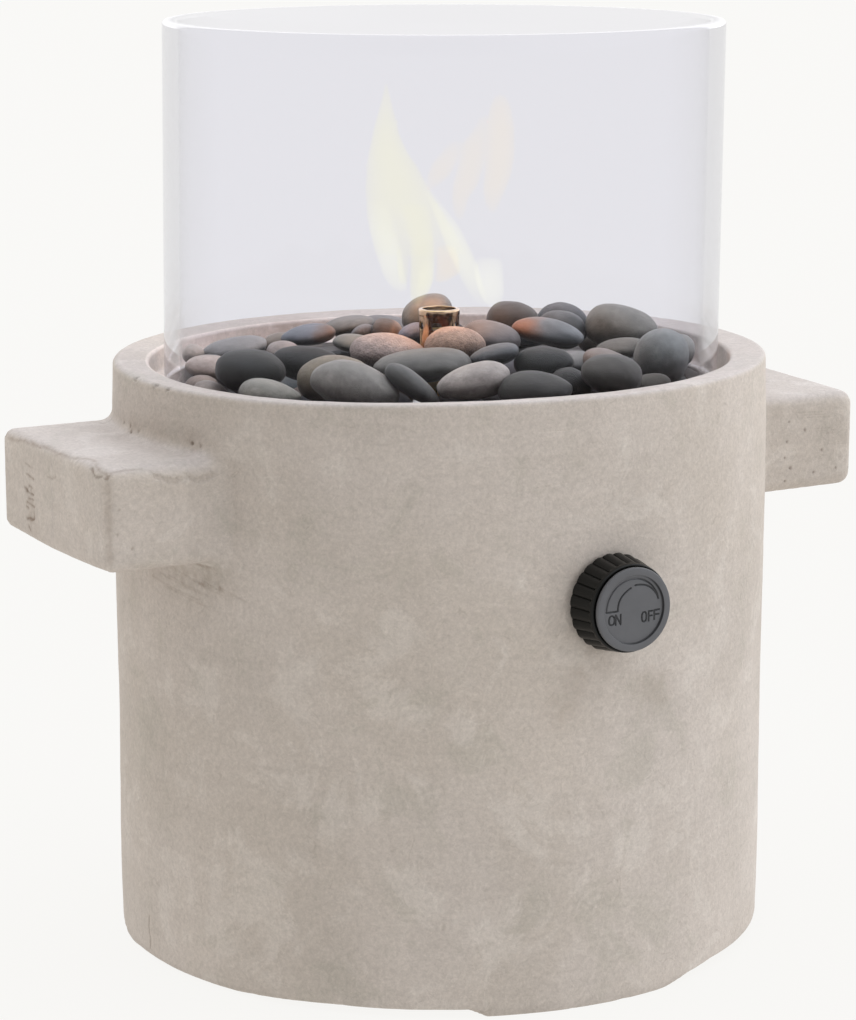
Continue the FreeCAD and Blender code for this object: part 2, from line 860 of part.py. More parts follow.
# burner head: a thin brass cup slipped over the tube, open at the top, with a
# ring of round flame ports
br = cell("burner_radius")
b_low, b_top = cell("burner_low"), cell("burner_top")
head = turned(
    "BurnerHead",
    [
        (tr + 0.02, b_low),
        (br - 0.1, b_low),
        (br - 0.1, b_top - 2.2),
        (br, b_top - 2.0),
        (br, b_top - 0.3),
        (br - 0.3, b_top),
        (br - 1.0, b_top),
        (br - 1.2, b_top - 0.4),
        (br - 1.2, cell("tube_top") + 0.05),
        (tr + 0.02, cell("tube_top") + 0.05),
    ],
)
port = cut_circles(
    head, "flame_port", "XZ_Plane", [(0, cell("port_height"), cell("port_radius"))]
)
ring_pattern(head, port, "flame_ports", 3, 120)
place(head, turn=Rotation(Vector(0, 0, -1), VALUE["port_turn"]))
head.setExpression(".Placement.Rotation.Angle", "Sizes.port_turn")
keep(head, "burner_head")
gauze = turned(
    "BurnerGauze",
    [
        (0, cell("tube_top") - 1.2),
        (tb - 0.05, cell("tube_top") - 1.2),
        (tb - 0.05, cell("tube_top") - 0.4),
        (0, cell("tube_top") - 0.4),
    ],
)
hole = cut_circles(gauze, "mesh_hole", "XY_Plane", [(1.9, 0, 0.5), (3.7, 0, 0.5)])
ring_pattern(gauze, hole, "mesh_holes", 8)
place(gauze)
keep(gauze, "burner_gauze")

# --------------------------------------------------------------------------
# spindle, gland, rod and knob; local +Z of these pieces points out of the front
# --------------------------------------------------------------------------
gland_hex = hexagon("gland_hex", 17.0, 9.0, 0, -(bh + 7.0), kz, OUTWARD)
gland_cup = cylinder("gland_cup", cell("boss_radius") + 0.03, 6.0, 0, -(bh + 7.0), kz, OUTWARD)
gland_bore = cylinder("gland_bore", cell("spindle_radius") + 0.08, 12, 0, -(bh + 6.0), kz, OUTWARD)
keep(cut("GlandNut", gland_hex, fuse("gland_bores", [gland_cup, gland_bore])), "gland_nut")

sr = cell("spindle_radius")
spindle = turned(
    "ValveSpindle",
    [
        (0, cell("needle_open") + 0.9),
        (0.3, cell("needle_open") + 0.9),
        (1.47, cell("needle_open") + 3.6),
        (sr - 0.8, cell("needle_open") + 3.6),
        (sr - 0.8, 7.5),
        (sr, 7.9),
        (sr, 15.9),
        (2.15, 15.9),
        (2.15, 17.2),
        (sr, 17.2),
        (sr, 40.0),
        (0, 40.0),
    ],
)
cut_circles(spindle, "spindle_pin_hole", "XZ_Plane", [(0, 35.0, 0.98)])
place(spindle, 0, 0, kz, OUTWARD)
keep(spindle, "valve_spindle")

ring = doc.addObject("Part::Torus", "SpindleSeal")
ring.Radius1 = 2.75
ring.Radius2 = 0.55
place(ring, 0, -16.55, kz, OUTWARD)
keep(ring, "spindle_seal")

rod = turned(
    "ExtensionRod",
    [
        (sr + 0.02, 29.5),
        (4.6, 29.5),
        (4.6, 43.5),
        (sr, 45.5),
        (sr, 114.2),
        (0, 114.2),
        (0, 40.6),
        (sr + 0.02, 40.6),
    ],
)
cut_circles(rod, "rod_pin_hole", "XZ_Plane", [(0, 35.0, 0.98)])
sketch = new_sketch(rod, "rod_flat_sketch", "XY_Plane", 104.0)
outline(sketch, [(-4, 2.0), (4, 2.0), (4, 5.0), (-4, 5.0)], "f")
before = rod.Shape.Volume
flat = rod.newObject("PartDesign::Pocket", "rod_flat")
flat.Profile = sketch
flat.Type = "Length"
flat.Length = 20
flat.Reversed = True
rod.Tip = flat
doc.recompute()
if rod.Shape.Volume > before - 5:
    raise RuntimeError("the rod has no flat")
place(rod, 0, 0, kz, OUTWARD)
keep(rod, "extension_rod")
pin = cylinder("RodPin", 0.96, 9.0, 0, -35.0, kz - 4.5)
keep(pin, "rod_pin")

bush = turned(
    "WallBush",
    [
        (sr + 0.1, 91.2),
        (cell("bush_radius"), 91.2),
        (cell("bush_radius"), 104.4),
        (sr + 0.1, 104.4),
    ],
)
place(bush, 0, 0, kz, OUTWARD)
keep(bush, "wall_bush")

kb, kl = cell("knob_back"), cell("knob_body_length")
knob = turned(
    "ControlKnob",
    [
        (cell("knob_back_radius"), 0),
        (cell("knob_front_radius"), kl),
        (0, kl),
        (0, 0.6),
        (6.0, 0.6),
        (6.0, kl - 1.6),
        (12.4, kl - 1.6),
        (13.0, 0),
    ],
)
flute = cut_circles(knob, "flute", "XY_Plane", [(0, 15.2, 1.25)])
ring_pattern(knob, flute, "flutes", 24)
# D-shaped bore for the rod, with a slot over the flat for the spring clip
sketch = new_sketch(knob, "bore_sketch", "XY_Plane", 0.6)
r, d = VALUE["spindle_radius"] + 0.02, 2.42
h = math.sqrt(r * r - d * d)
g0 = sketch.addGeometry(Part.LineSegment(Vector(-h, d, 0), Vector(h, d, 0)), False)
g1 = sketch.addGeometry(
    Part.Arc(Vector(-h, d, 0), Vector(0, -r, 0), Vector(h, d, 0)), False
)
first = sketch.getPoint(g1, 1)
start, end = (1, 2) if first.x < 0 else (2, 1)
sketch.addConstraint(Sketcher.Constraint("Coincident", g0, 1, g1, start))
sketch.addConstraint(Sketcher.Constraint("Coincident", g0, 2, g1, end))
sketch.addConstraint(Sketcher.Constraint("Coincident", g1, 3, -1, 1))
sketch.addConstraint(Sketcher.Constraint("Horizontal", g0))
i = sketch.addConstraint(Sketcher.Constraint("Radius", g1, r))
sketch.renameConstraint(i, "bore_r")
sketch.setExpression("Constraints.bore_r", "Sizes.spindle_radius + 0.02")
sketch.addConstraint(Sketcher.Constraint("DistanceY", -1, 1, g0, 1, d))
before = knob.Shape.Volume
bore = knob.newObject("PartDesign::Pocket", "knob_bore")
bore.Profile = sketch
bore.Type = "Length"
bore.Length = 6.6
bore.Reversed = True
knob.Tip = bore
doc.recompute()
if knob.Shape.Volume > before - 50:
    raise RuntimeError("the knob has no bore")
place(knob, 0, -kb, kz, OUTWARD)
keep(knob, "control_knob")
clip = block("KnobClip", 3.0, 6.0, 0.38, -1.5, -(kb + 6.9), kz + 2.02)
keep(clip, "knob_clip")

dr = cell("dial_radius")
dial = turned(
    "KnobFace",
    [
        (0, 0),
        (dr, 0),
        (dr, cell("dial_thickness") - 0.3),
        (dr - 0.3, cell("dial_thickness")),
        (dr - 2.3, cell("dial_thickness")),
        (dr - 2.4, cell("dial_thickness") - 0.7),
        (0, cell("dial_thickness") - 0.7),
    ],
)
place(dial, 0, -(kb + kl), kz, OUTWARD)
keep(dial, "knob_face")

# --------------------------------------------------------------------------
# gas cartridge: drawn can with a crimped valve cup and a threaded stub
# --------------------------------------------------------------------------
cr, cb, w = cell("can_radius"), cell("can_bottom"), cell("can_sheet")
can = turned(
    "CartridgeCan",
    [
        (cr - 1.6, cb),
        (cr, cb + 0.8),
        (cr, cb + 3.0),
        (cr - 0.6, cb + 4.0),
        (cr - 0.6, 72.0),
        (cr - 3.0, 77.0),
        (cr - 10.0, 81.0),
        (cr - 24.0, 84.0),
        (13.2, 85.4),
        (13.2, 85.4 - 0.5),
        (cr - 24.1, 84.0 - 0.5),
        (cr - 10.3, 81.0 - 0.5),
        (cr - 3.5, 77.0 - 0.3),
        (cr - 0.6 - w, 72.0),
        (cr - 0.6 - w, cb + 4.0),
        (cr - 4.0, cb + 3.2),
        (cr - 14.0, cb + 3.6),
        (0, cb + 4.0),
        (0, cb + 3.5),
        (cr - 14.0, cb + 3.1),
        (cr - 4.0, cb + 2.7),
        (cr - 3.2, cb + 0.8),
    ],
)
place(can)
keep(can, "cartridge_can")
st = cell("stub_top")
cup = turned(
    "CartridgeValve",
    [
        (0, 79.5),
        (4.0, 79.5),
        (5.0, 83.0),
        (10.2, 83.0),
        (10.8, 85.4),
        (15.0, 85.4),
        (15.0, 86.6),
        (10.2, 86.9),
        (9.6, 84.2),
        (cell("stub_radius"), 84.2),
        (cell("stub_radius"), st),
        (2.2, st),
        (2.2, st - 6.5),
        (0, st - 6.5),
    ],
)
place(cup)
keep(cup, "cartridge_valve")

# --------------------------------------------------------------------------
# pebbles: (x, y, z, half sizes a, b, c, rotation as a quaternion x, y, z, w),
# measured from the base's axis
# --------------------------------------------------------------------------
PEBBLES = {
    "char": [
        (-66.43, 0.00, 187.52, 10.93, 11.00, 5.97, 0.0236, 0.0052, -0.2770, 0.9606),
        (-43.78, 5.88, 186.47, 11.07, 10.00, 5.44, 0.0130, 0.0507, -0.2483, 0.9673),
        (-36.12, -50.95, 186.53, 9.39, 6.00, 3.20, 0.0720, 0.3651, -0.2288, 0.8995),
        (57.83, 18.93, 189.07, 9.01, 8.00, 7.32, 0.0422, 0.1686, -0.2447, 0.9539),
        (49.26, 6.59, 189.25, 8.24, 7.00, 6.58, 0.0201, 0.0847, -0.2480, 0.9649),
        (21.91, -69.33, 187.53, 9.50, 11.00, 6.17, 0.0490, 0.0961, -0.2719, 0.9563),
        (15.13, -39.69, 187.51, 9.38, 10.00, 5.37, -0.0129, -0.0371, -0.2478, 0.9680),
        (-6.22, -70.55, 184.85, 11.49, 12.00, 6.00, -0.0284, -0.0297, -0.2693, 0.9622),
        (18.44, -9.94, 170.42, 10.30, 7.06, 4.41, 0.0081, 0.0300, 0.9533, 0.3005),
        (-4.21, -19.55, 171.41, 9.21, 8.60, 5.41, -0.0000, 0.0000, -0.0491, 0.9988),
        (5.13, 39.67, 170.28, 9.88, 8.38, 4.28, 0.0000, -0.0000, -0.1966, 0.9805),
        (-33.58, -21.74, 170.89, 9.38, 8.45, 4.89, 0.0000, 0.0000, 0.8859, 0.4639),
        (52.93, -26.07, 170.40, 8.95, 8.25, 4.40, -0.0000, -0.0000, 0.4302, 0.9027),
        (35.72, 46.14, 170.66, 10.17, 8.27, 4.65, -0.0178, -0.0106, 0.6770, 0.7357),
        (-46.08, 36.53, 171.34, 10.78, 7.53, 5.31, -0.0389, 0.0186, 0.0868, 0.9953),
        (-43.72, -39.90, 170.43, 10.15, 7.06, 4.42, 0.0174, -0.0031, 0.8214, 0.5701),
        (36.63, -44.31, 170.91, 10.62, 8.61, 4.89, 0.0130, -0.0169, 0.9288, 0.3699),
        (36.78, 64.22, 182.02, 7.93, 5.91, 4.02, -0.0001, 0.0000, 0.9664, 0.2571),
        (-65.31, 34.30, 182.12, 7.07, 6.49, 4.03, -0.0603, -0.0442, 0.8669, -0.4929),
    ],
    "grey": [
        (-51.71, -41.29, 185.67, 13.63, 11.00, 7.72, -0.0030, 0.1001, -0.2480, 0.9636),
        (-4.68, 53.81, 188.79, 9.02, 9.00, 3.20, -0.0327, -0.0791, -0.2430, 0.9662),
        (10.74, 58.72, 187.07, 8.77, 9.00, 3.20, 0.0308, -0.0085, -0.2398, 0.9703),
        (-5.45, 41.36, 187.40, 4.31, 7.00, 3.20, -0.2114, -0.1829, -0.3519, 0.8933),
        (-2.45, 13.32, 190.81, 4.87, 7.00, 3.71, -0.1077, -0.1354, -0.2006, 0.9643),
        (-20.71, -27.16, 187.89, 15.57, 12.00, 5.17, -0.0096, -0.0212, -0.2569, 0.9662),
        (16.43, -4.68, 190.78, 9.66, 11.00, 5.47, 0.0098, 0.0572, -0.2429, 0.9683),
        (71.78, -28.56, 186.83, 5.52, 7.00, 3.20, 0.0231, 0.0881, -0.1843, 0.9787),
        (33.35, -30.03, 185.05, 6.67, 8.00, 3.53, 0.0456, 0.0271, -0.2524, 0.9662),
        (16.69, 13.03, 170.73, 11.35, 8.24, 4.72, 0.0028, 0.0195, 0.5571, 0.8302),
        (38.09, -9.59, 170.88, 8.75, 8.79, 4.80, 0.0578, 0.0055, -0.0110, 0.9982),
        (-20.99, 34.05, 170.32, 9.43, 7.63, 4.32, -0.0000, -0.0000, 0.0199, 0.9998),
        (-15.41, -34.50, 171.57, 9.27, 8.96, 5.52, -0.0415, 0.0283, 0.2353, 0.9706),
        (57.02, -5.39, 170.71, 10.78, 7.07, 4.70, -0.0164, 0.0123, 0.0209, 0.9996),
        (15.51, 57.24, 171.50, 9.45, 7.79, 5.48, 0.0010, 0.0332, -0.0545, 0.9980),
        (-55.07, 20.38, 171.08, 9.99, 7.57, 5.05, 0.0065, -0.0365, 0.6712, 0.7403),
        (-21.56, -53.16, 170.63, 11.21, 8.51, 4.62, 0.0090, -0.0084, 0.7433, 0.6688),
        (74.40, -15.21, 181.98, 7.16, 6.38, 3.90, -0.0691, 0.0141, 0.6402, 0.7650),
        (8.76, 73.48, 182.01, 7.75, 5.63, 4.01, -0.0000, 0.0000, 0.9982, 0.0593),
        (-76.57, 7.73, 182.30, 7.18, 5.92, 3.77, -0.0769, 0.2137, -0.7906, 0.5687),
    ],
    "taupe": [
        (-69.10, 25.96, 186.58, 7.65, 7.00, 3.20, 0.0848, 0.0164, -0.2583, 0.9622),
        (-74.68, 20.14, 181.24, 5.37, 6.00, 3.20, -0.0303, 0.0397, -0.2496, 0.9671),
        (-41.20, 29.57, 187.56, 5.49, 8.00, 3.20, 0.0000, -0.0000, -0.2487, 0.9686),
        (-17.42, 25.62, 187.31, 7.48, 8.00, 3.20, 0.0217, 0.0844, -0.2477, 0.9649),
        (7.75, 21.35, 196.35, 8.50, 9.00, 6.76, -0.0279, -0.0806, -0.2447, 0.9658),
        (-19.60, -54.08, 187.05, 11.24, 12.00, 6.03, -0.0528, -0.0813, -0.2674, 0.9587),
        (36.79, -6.11, 191.23, 12.00, 9.00, 4.61, 0.0188, 0.0897, -0.2479, 0.9644),
        (54.35, -20.68, 187.25, 8.73, 8.00, 3.20, -0.0130, -0.0507, -0.2483, 0.9673),
        (37.01, -43.64, 186.46, 8.53, 9.00, 3.76, 0.0517, 0.1389, -0.2478, 0.9574),
        (-8.98, 17.87, 171.14, 8.91, 8.58, 5.14, 0.0000, -0.0000, 0.5257, 0.8507),
        (37.12, 14.91, 170.25, 11.20, 7.43, 4.25, -0.0000, 0.0000, 0.0640, 0.9980),
        (-33.49, 21.88, 171.23, 9.90, 7.25, 5.23, -0.0000, -0.0000, 0.0560, 0.9984),
        (7.99, -39.19, 170.29, 10.74, 7.08, 4.29, 0.0000, 0.0000, 0.3740, 0.9274),
        (56.07, 18.35, 170.29, 9.23, 7.71, 4.29, -0.0000, -0.0000, 0.8983, 0.4394),
        (-5.09, 58.54, 171.20, 11.39, 8.81, 5.18, 0.0138, -0.0233, -0.1441, 0.9892),
        (-59.10, -0.62, 170.61, 9.57, 8.47, 4.61, -0.0035, -0.0026, 0.8428, 0.5383),
        (-3.95, -58.32, 171.43, 9.65, 7.31, 5.43, -0.0005, 0.0105, 0.7541, 0.6567),
        (71.74, 18.15, 181.96, 7.14, 6.12, 3.96, 0.0001, -0.0000, 0.7891, 0.6143),
        (-20.65, 71.06, 181.61, 8.29, 5.67, 3.61, 0.0000, -0.0000, 0.9900, -0.1409),
        (36.23, -67.67, 182.16, 8.07, 6.04, 3.83, -0.0381, -0.1170, 0.1909, 0.9739),
    ],
    "blue": [
        (-50.50, 44.11, 186.17, 10.41, 10.00, 3.22, -0.0047, -0.0872, -0.2437, 0.9659),
        (-23.02, 46.96, 187.86, 9.24, 9.00, 3.60, -0.0173, -0.0676, -0.2481, 0.9662),
        (2.02, -32.72, 190.91, 8.45, 9.00, 3.90, -0.0892, -0.0979, -0.2443, 0.9606),
        (52.08, -49.87, 189.12, 8.68, 11.00, 9.40, 0.0702, 0.1710, -0.2413, 0.9527),
        (-19.69, -3.51, 170.98, 11.44, 7.41, 4.98, 0.0000, 0.0000, 0.4867, 0.8735),
        (24.84, 31.35, 170.67, 11.22, 8.39, 4.67, -0.0000, 0.0000, -0.2229, 0.9748),
        (-39.96, 0.06, 173.13, 11.19, 7.05, 5.33, 0.0007, 0.0044, 0.0520, 0.9986),
        (26.19, -27.54, 171.13, 10.73, 8.09, 5.13, -0.0160, -0.0116, 0.5988, 0.8006),
        (47.52, 33.87, 171.07, 9.99, 7.16, 5.06, 0.0342, 0.0032, 0.1323, 0.9906),
        (-31.48, 49.90, 170.27, 8.93, 7.93, 4.27, -0.0000, -0.0000, 0.8459, 0.5333),
        (-54.23, -22.93, 170.57, 10.52, 8.04, 4.56, -0.0111, 0.0168, 0.9689, 0.2468),
        (21.20, -54.92, 170.99, 10.85, 7.90, 4.99, -0.0079, -0.0027, -0.1363, 0.9906),
        (59.00, 44.66, 181.71, 7.64, 6.35, 3.71, 0.0114, -0.0058, 0.8937, 0.4486),
        (-45.31, 58.27, 182.40, 7.10, 5.96, 4.38, 0.0337, 0.0031, 0.9480, -0.3164),
    ],
    "brown": [
        (-64.62, 43.98, 187.38, 4.53, 8.00, 3.20, -0.0577, -0.0766, -0.2437, 0.9651),
        (-47.19, -17.35, 184.31, 11.47, 10.00, 7.31, -0.0260, -0.1012, -0.2473, 0.9633),
        (0.60, 35.28, 190.07, 5.63, 7.00, 3.24, 0.0701, 0.1526, -0.2569, 0.9517),
        (37.64, 18.18, 192.27, 8.60, 9.00, 6.14, -0.0005, -0.0005, -0.2495, 0.9684),
    ],
    "green": [
        (-70.01, -20.66, 182.66, 9.74, 10.00, 4.53, -0.0061, 0.0646, -0.1776, 0.9820),
        (67.44, -2.76, 189.88, 12.20, 13.00, 7.63, 0.0155, 0.0657, -0.2482, 0.9664),
        (14.46, -57.47, 182.98, 6.76, 9.00, 5.34, 0.0837, 0.1217, -0.2746, 0.9501),
    ],
    "red": [
        (-19.01, -0.67, 188.00, 11.80, 12.00, 6.38, 0.0022, 0.0281, -0.1974, 0.9799),
        (-3.00, -16.00, 191.36, 9.79, 9.00, 6.18, -0.0163, -0.0115, -0.2519, 0.9676),
    ],
}
NODE_OF = {
    "char": "pebbles_charcoal",
    "grey": "pebbles_grey",
    "taupe": "pebbles_taupe",
    "blue": "pebbles_slate",
    "brown": "pebbles_brown",
    "green": "pebbles_olive",
    "red": "pebbles_red",
}
for kind, rows in PEBBLES.items():
    stones = []
    for i, (x, y, z, a, b, c, qx, qy, qz, qw) in enumerate(rows):
        e = doc.addObject("Part::Ellipsoid", "pebble_%s_%d" % (kind, i))
        for prop, half_size in (("Radius1", c), ("Radius2", a), ("Radius3", b)):
            setattr(e, prop, half_size)
            e.setExpression(prop, "%.2f * Sizes.pebble_scale" % half_size)
        place(e, x, y, z, Rotation(qx, qy, qz, qw))
        stones.append(e)
    keep(group("Pebbles_" + kind, stones), NODE_OF[kind])

# --------------------------------------------------------------------------
# test every object, then write one file for each piece
# --------------------------------------------------------------------------
doc.recompute()
for obj in doc.Objects:
    if "Invalid" in obj.State or "Error" in obj.State:
        raise RuntimeError("%s (%s) is %s" % (obj.Name, obj.Label, obj.State))
low_z, high_z = 1e9, -1e9
for obj in NODES:
    shape = obj.Shape
    if shape.isNull() or not shape.isValid():
        raise RuntimeError("%s has no valid shape" % obj.Label)
    if not shape.Solids:
        raise RuntimeError("%s holds no solid" % obj.Label)
if len(set(o.Label for o in NODES)) != len(NODES):
    raise RuntimeError("two pieces share a label")
os.makedirs("parts", exist_ok=True)
for obj in NODES:
    obj.Shape.exportStep("parts/%s.step" % obj.Label)
    print(
        "%-20s solids %2d  volume %10.1f mm3"
        % (obj.Label, len(obj.Shape.Solids), obj.Shape.Volume)
    )
print("%d pieces written" % len(NODES))
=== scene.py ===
import json
import math

import bmesh
import bpy
import numpy as np
from mathutils import Matrix, Vector


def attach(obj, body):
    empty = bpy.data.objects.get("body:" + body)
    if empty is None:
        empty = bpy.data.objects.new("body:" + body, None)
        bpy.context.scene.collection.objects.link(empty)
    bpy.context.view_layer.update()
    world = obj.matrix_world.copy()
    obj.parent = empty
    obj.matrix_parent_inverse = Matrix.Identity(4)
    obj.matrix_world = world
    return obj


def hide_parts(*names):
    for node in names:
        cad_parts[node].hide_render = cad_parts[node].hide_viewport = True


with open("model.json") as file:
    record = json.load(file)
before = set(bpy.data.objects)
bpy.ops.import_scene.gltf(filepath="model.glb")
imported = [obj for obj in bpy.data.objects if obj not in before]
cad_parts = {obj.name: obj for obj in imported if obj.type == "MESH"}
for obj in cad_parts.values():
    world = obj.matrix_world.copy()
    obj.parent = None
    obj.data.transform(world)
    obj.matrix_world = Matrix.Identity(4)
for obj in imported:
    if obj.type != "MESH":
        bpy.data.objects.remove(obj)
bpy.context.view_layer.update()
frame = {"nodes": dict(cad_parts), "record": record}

# Lengths below are millimetres measured from the axis of the base, which stands
# AXIS_Y behind the origin.  They become metres in the row frame in solid().
AXIS_Y = 6.45
RNG = np.random.default_rng(11)

# --------------------------------------------------------------------------
# mesh and noise helpers
# --------------------------------------------------------------------------
PERM = RNG.permutation(256)
GRAD = RNG.normal(size=(256, 3))
GRAD /= np.linalg.norm(GRAD, axis=1)[:, None]


def noise(p):
    """Smooth gradient noise, about -1 to 1, at the rows of p."""
    cell = np.floor(p).astype(np.int64)
    f = p - cell
    w = f * f * f * (f * (f * 6 - 15) + 10)
    total = np.zeros(len(p))
    for dx in (0, 1):
        for dy in (0, 1):
            for dz in (0, 1):
                h = PERM[(cell[:, 0] + dx) & 255]
                h = PERM[(h + cell[:, 1] + dy) & 255]
                h = PERM[(h + cell[:, 2] + dz) & 255]
                d = f - (dx, dy, dz)
                value = (GRAD[h] * d).sum(1)
                share = (
                    (w[:, 0] if dx else 1 - w[:, 0])
                    * (w[:, 1] if dy else 1 - w[:, 1])
                    * (w[:, 2] if dz else 1 - w[:, 2])
                )
                total += value * share
    return total * 1.5


def fbm(p, octaves=4, gain=0.5):
    total, size = np.zeros(len(p)), 1.0
    for i in range(octaves):
        total += noise(p * 2.0**i + 17.3 * i) * size
        size *= gain
    return total


def smooth_step(a, b, x):
    t = np.clip((x - a) / (b - a), 0, 1)
    return t * t * (3 - 2 * t)


def solid(name, verts, faces, material, body, smooth=True, sharp=None, centred=True):
    """A mesh object from millimetres; faces are rows of 3 or 4 indices."""
    v = np.array(verts, float) * 0.001
    if centred:
        v[:, 1] += AXIS_Y * 0.001
    me = bpy.data.meshes.new(name)
    if isinstance(faces, np.ndarray):
        m, k = faces.shape
        me.vertices.add(len(v))
        me.vertices.foreach_set("co", v.ravel())
        me.loops.add(m * k)
        me.loops.foreach_set("vertex_index", faces.ravel().astype(np.int32))
        me.polygons.add(m)
        me.polygons.foreach_set("loop_start", np.arange(0, m * k, k, dtype=np.int32))
        me.update(calc_edges=True)
    else:
        me.from_pydata([tuple(p) for p in v], [], [tuple(f) for f in faces])
        me.update()
    me.validate()
    if smooth:
        me.shade_smooth()
        if sharp is not None:
            me.set_sharp_from_angle(angle=math.radians(sharp))
    ob = bpy.data.objects.new(name, me)
    bpy.context.scene.collection.objects.link(ob)
    if material is not None:
        me.materials.append(material)
    if body:
        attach(ob, body)
    return ob


def paint(ob, name, values):
    """A number for each vertex, read by the material through an Attribute node."""
    a = ob.data.attributes.new(name, "FLOAT", "POINT")
    a.data.foreach_set("value", np.asarray(values, np.float32))


def paint_colour(ob, name, rgb):
    a = ob.data.attributes.new(name, "FLOAT_COLOR", "POINT")
    rgba = np.ones((len(rgb), 4), np.float32)
    rgba[:, :3] = rgb
    a.data.foreach_set("color", rgba.ravel())


def lathe(profile, n, closed=True):
    """Points and quads of a profile of (radius, height) turned about Z."""
    prof = np.array(profile, float)
    k = len(prof)
    ang = np.arange(n) * 2 * math.pi / n
    v = np.empty((k, n, 3))
    v[:, :, 0] = prof[:, 0:1] * np.cos(ang)
    v[:, :, 1] = prof[:, 0:1] * np.sin(ang)
    v[:, :, 2] = prof[:, 1:2]
    rows = k if closed else k - 1
    i, j = np.meshgrid(np.arange(rows), np.arange(n), indexing="ij")
    a = i * n + j
    b = i * n + (j + 1) % n
    c = ((i + 1) % k) * n + (j + 1) % n
    d = ((i + 1) % k) * n + j
    faces = np.stack([a, b, c, d], -1).reshape(-1, 4)
    return v.reshape(-1, 3), faces


def rounded(points, steps=5):
    """A closed outline from (x, y, r) corners, each rounded by r."""
    out = []
    n = len(points)
    for i in range(n):
        x, y, r = points[i]
        p = np.array((x, y), float)
        a = np.array(points[i - 1][:2], float) - p
        b = np.array(points[(i + 1) % n][:2], float) - p
        if r <= 0:
            out.append(tuple(p))
            continue
        a /= np.linalg.norm(a)
        b /= np.linalg.norm(b)
        half = math.acos(np.clip(a @ b, -1, 1)) / 2
        cut = r / math.tan(half)
        centre = p + (a + b) / np.linalg.norm(a + b) * (r / math.sin(half))
        s, e = p + a * cut - centre, p + b * cut - centre
        t0, t1 = math.atan2(s[1], s[0]), math.atan2(e[1], e[0])
        turn = (t1 - t0 + math.pi) % (2 * math.pi) - math.pi
        for q in range(steps + 1):
            t = t0 + turn * q / steps
            out.append((centre[0] + r * math.cos(t), centre[1] + r * math.sin(t)))
    return out


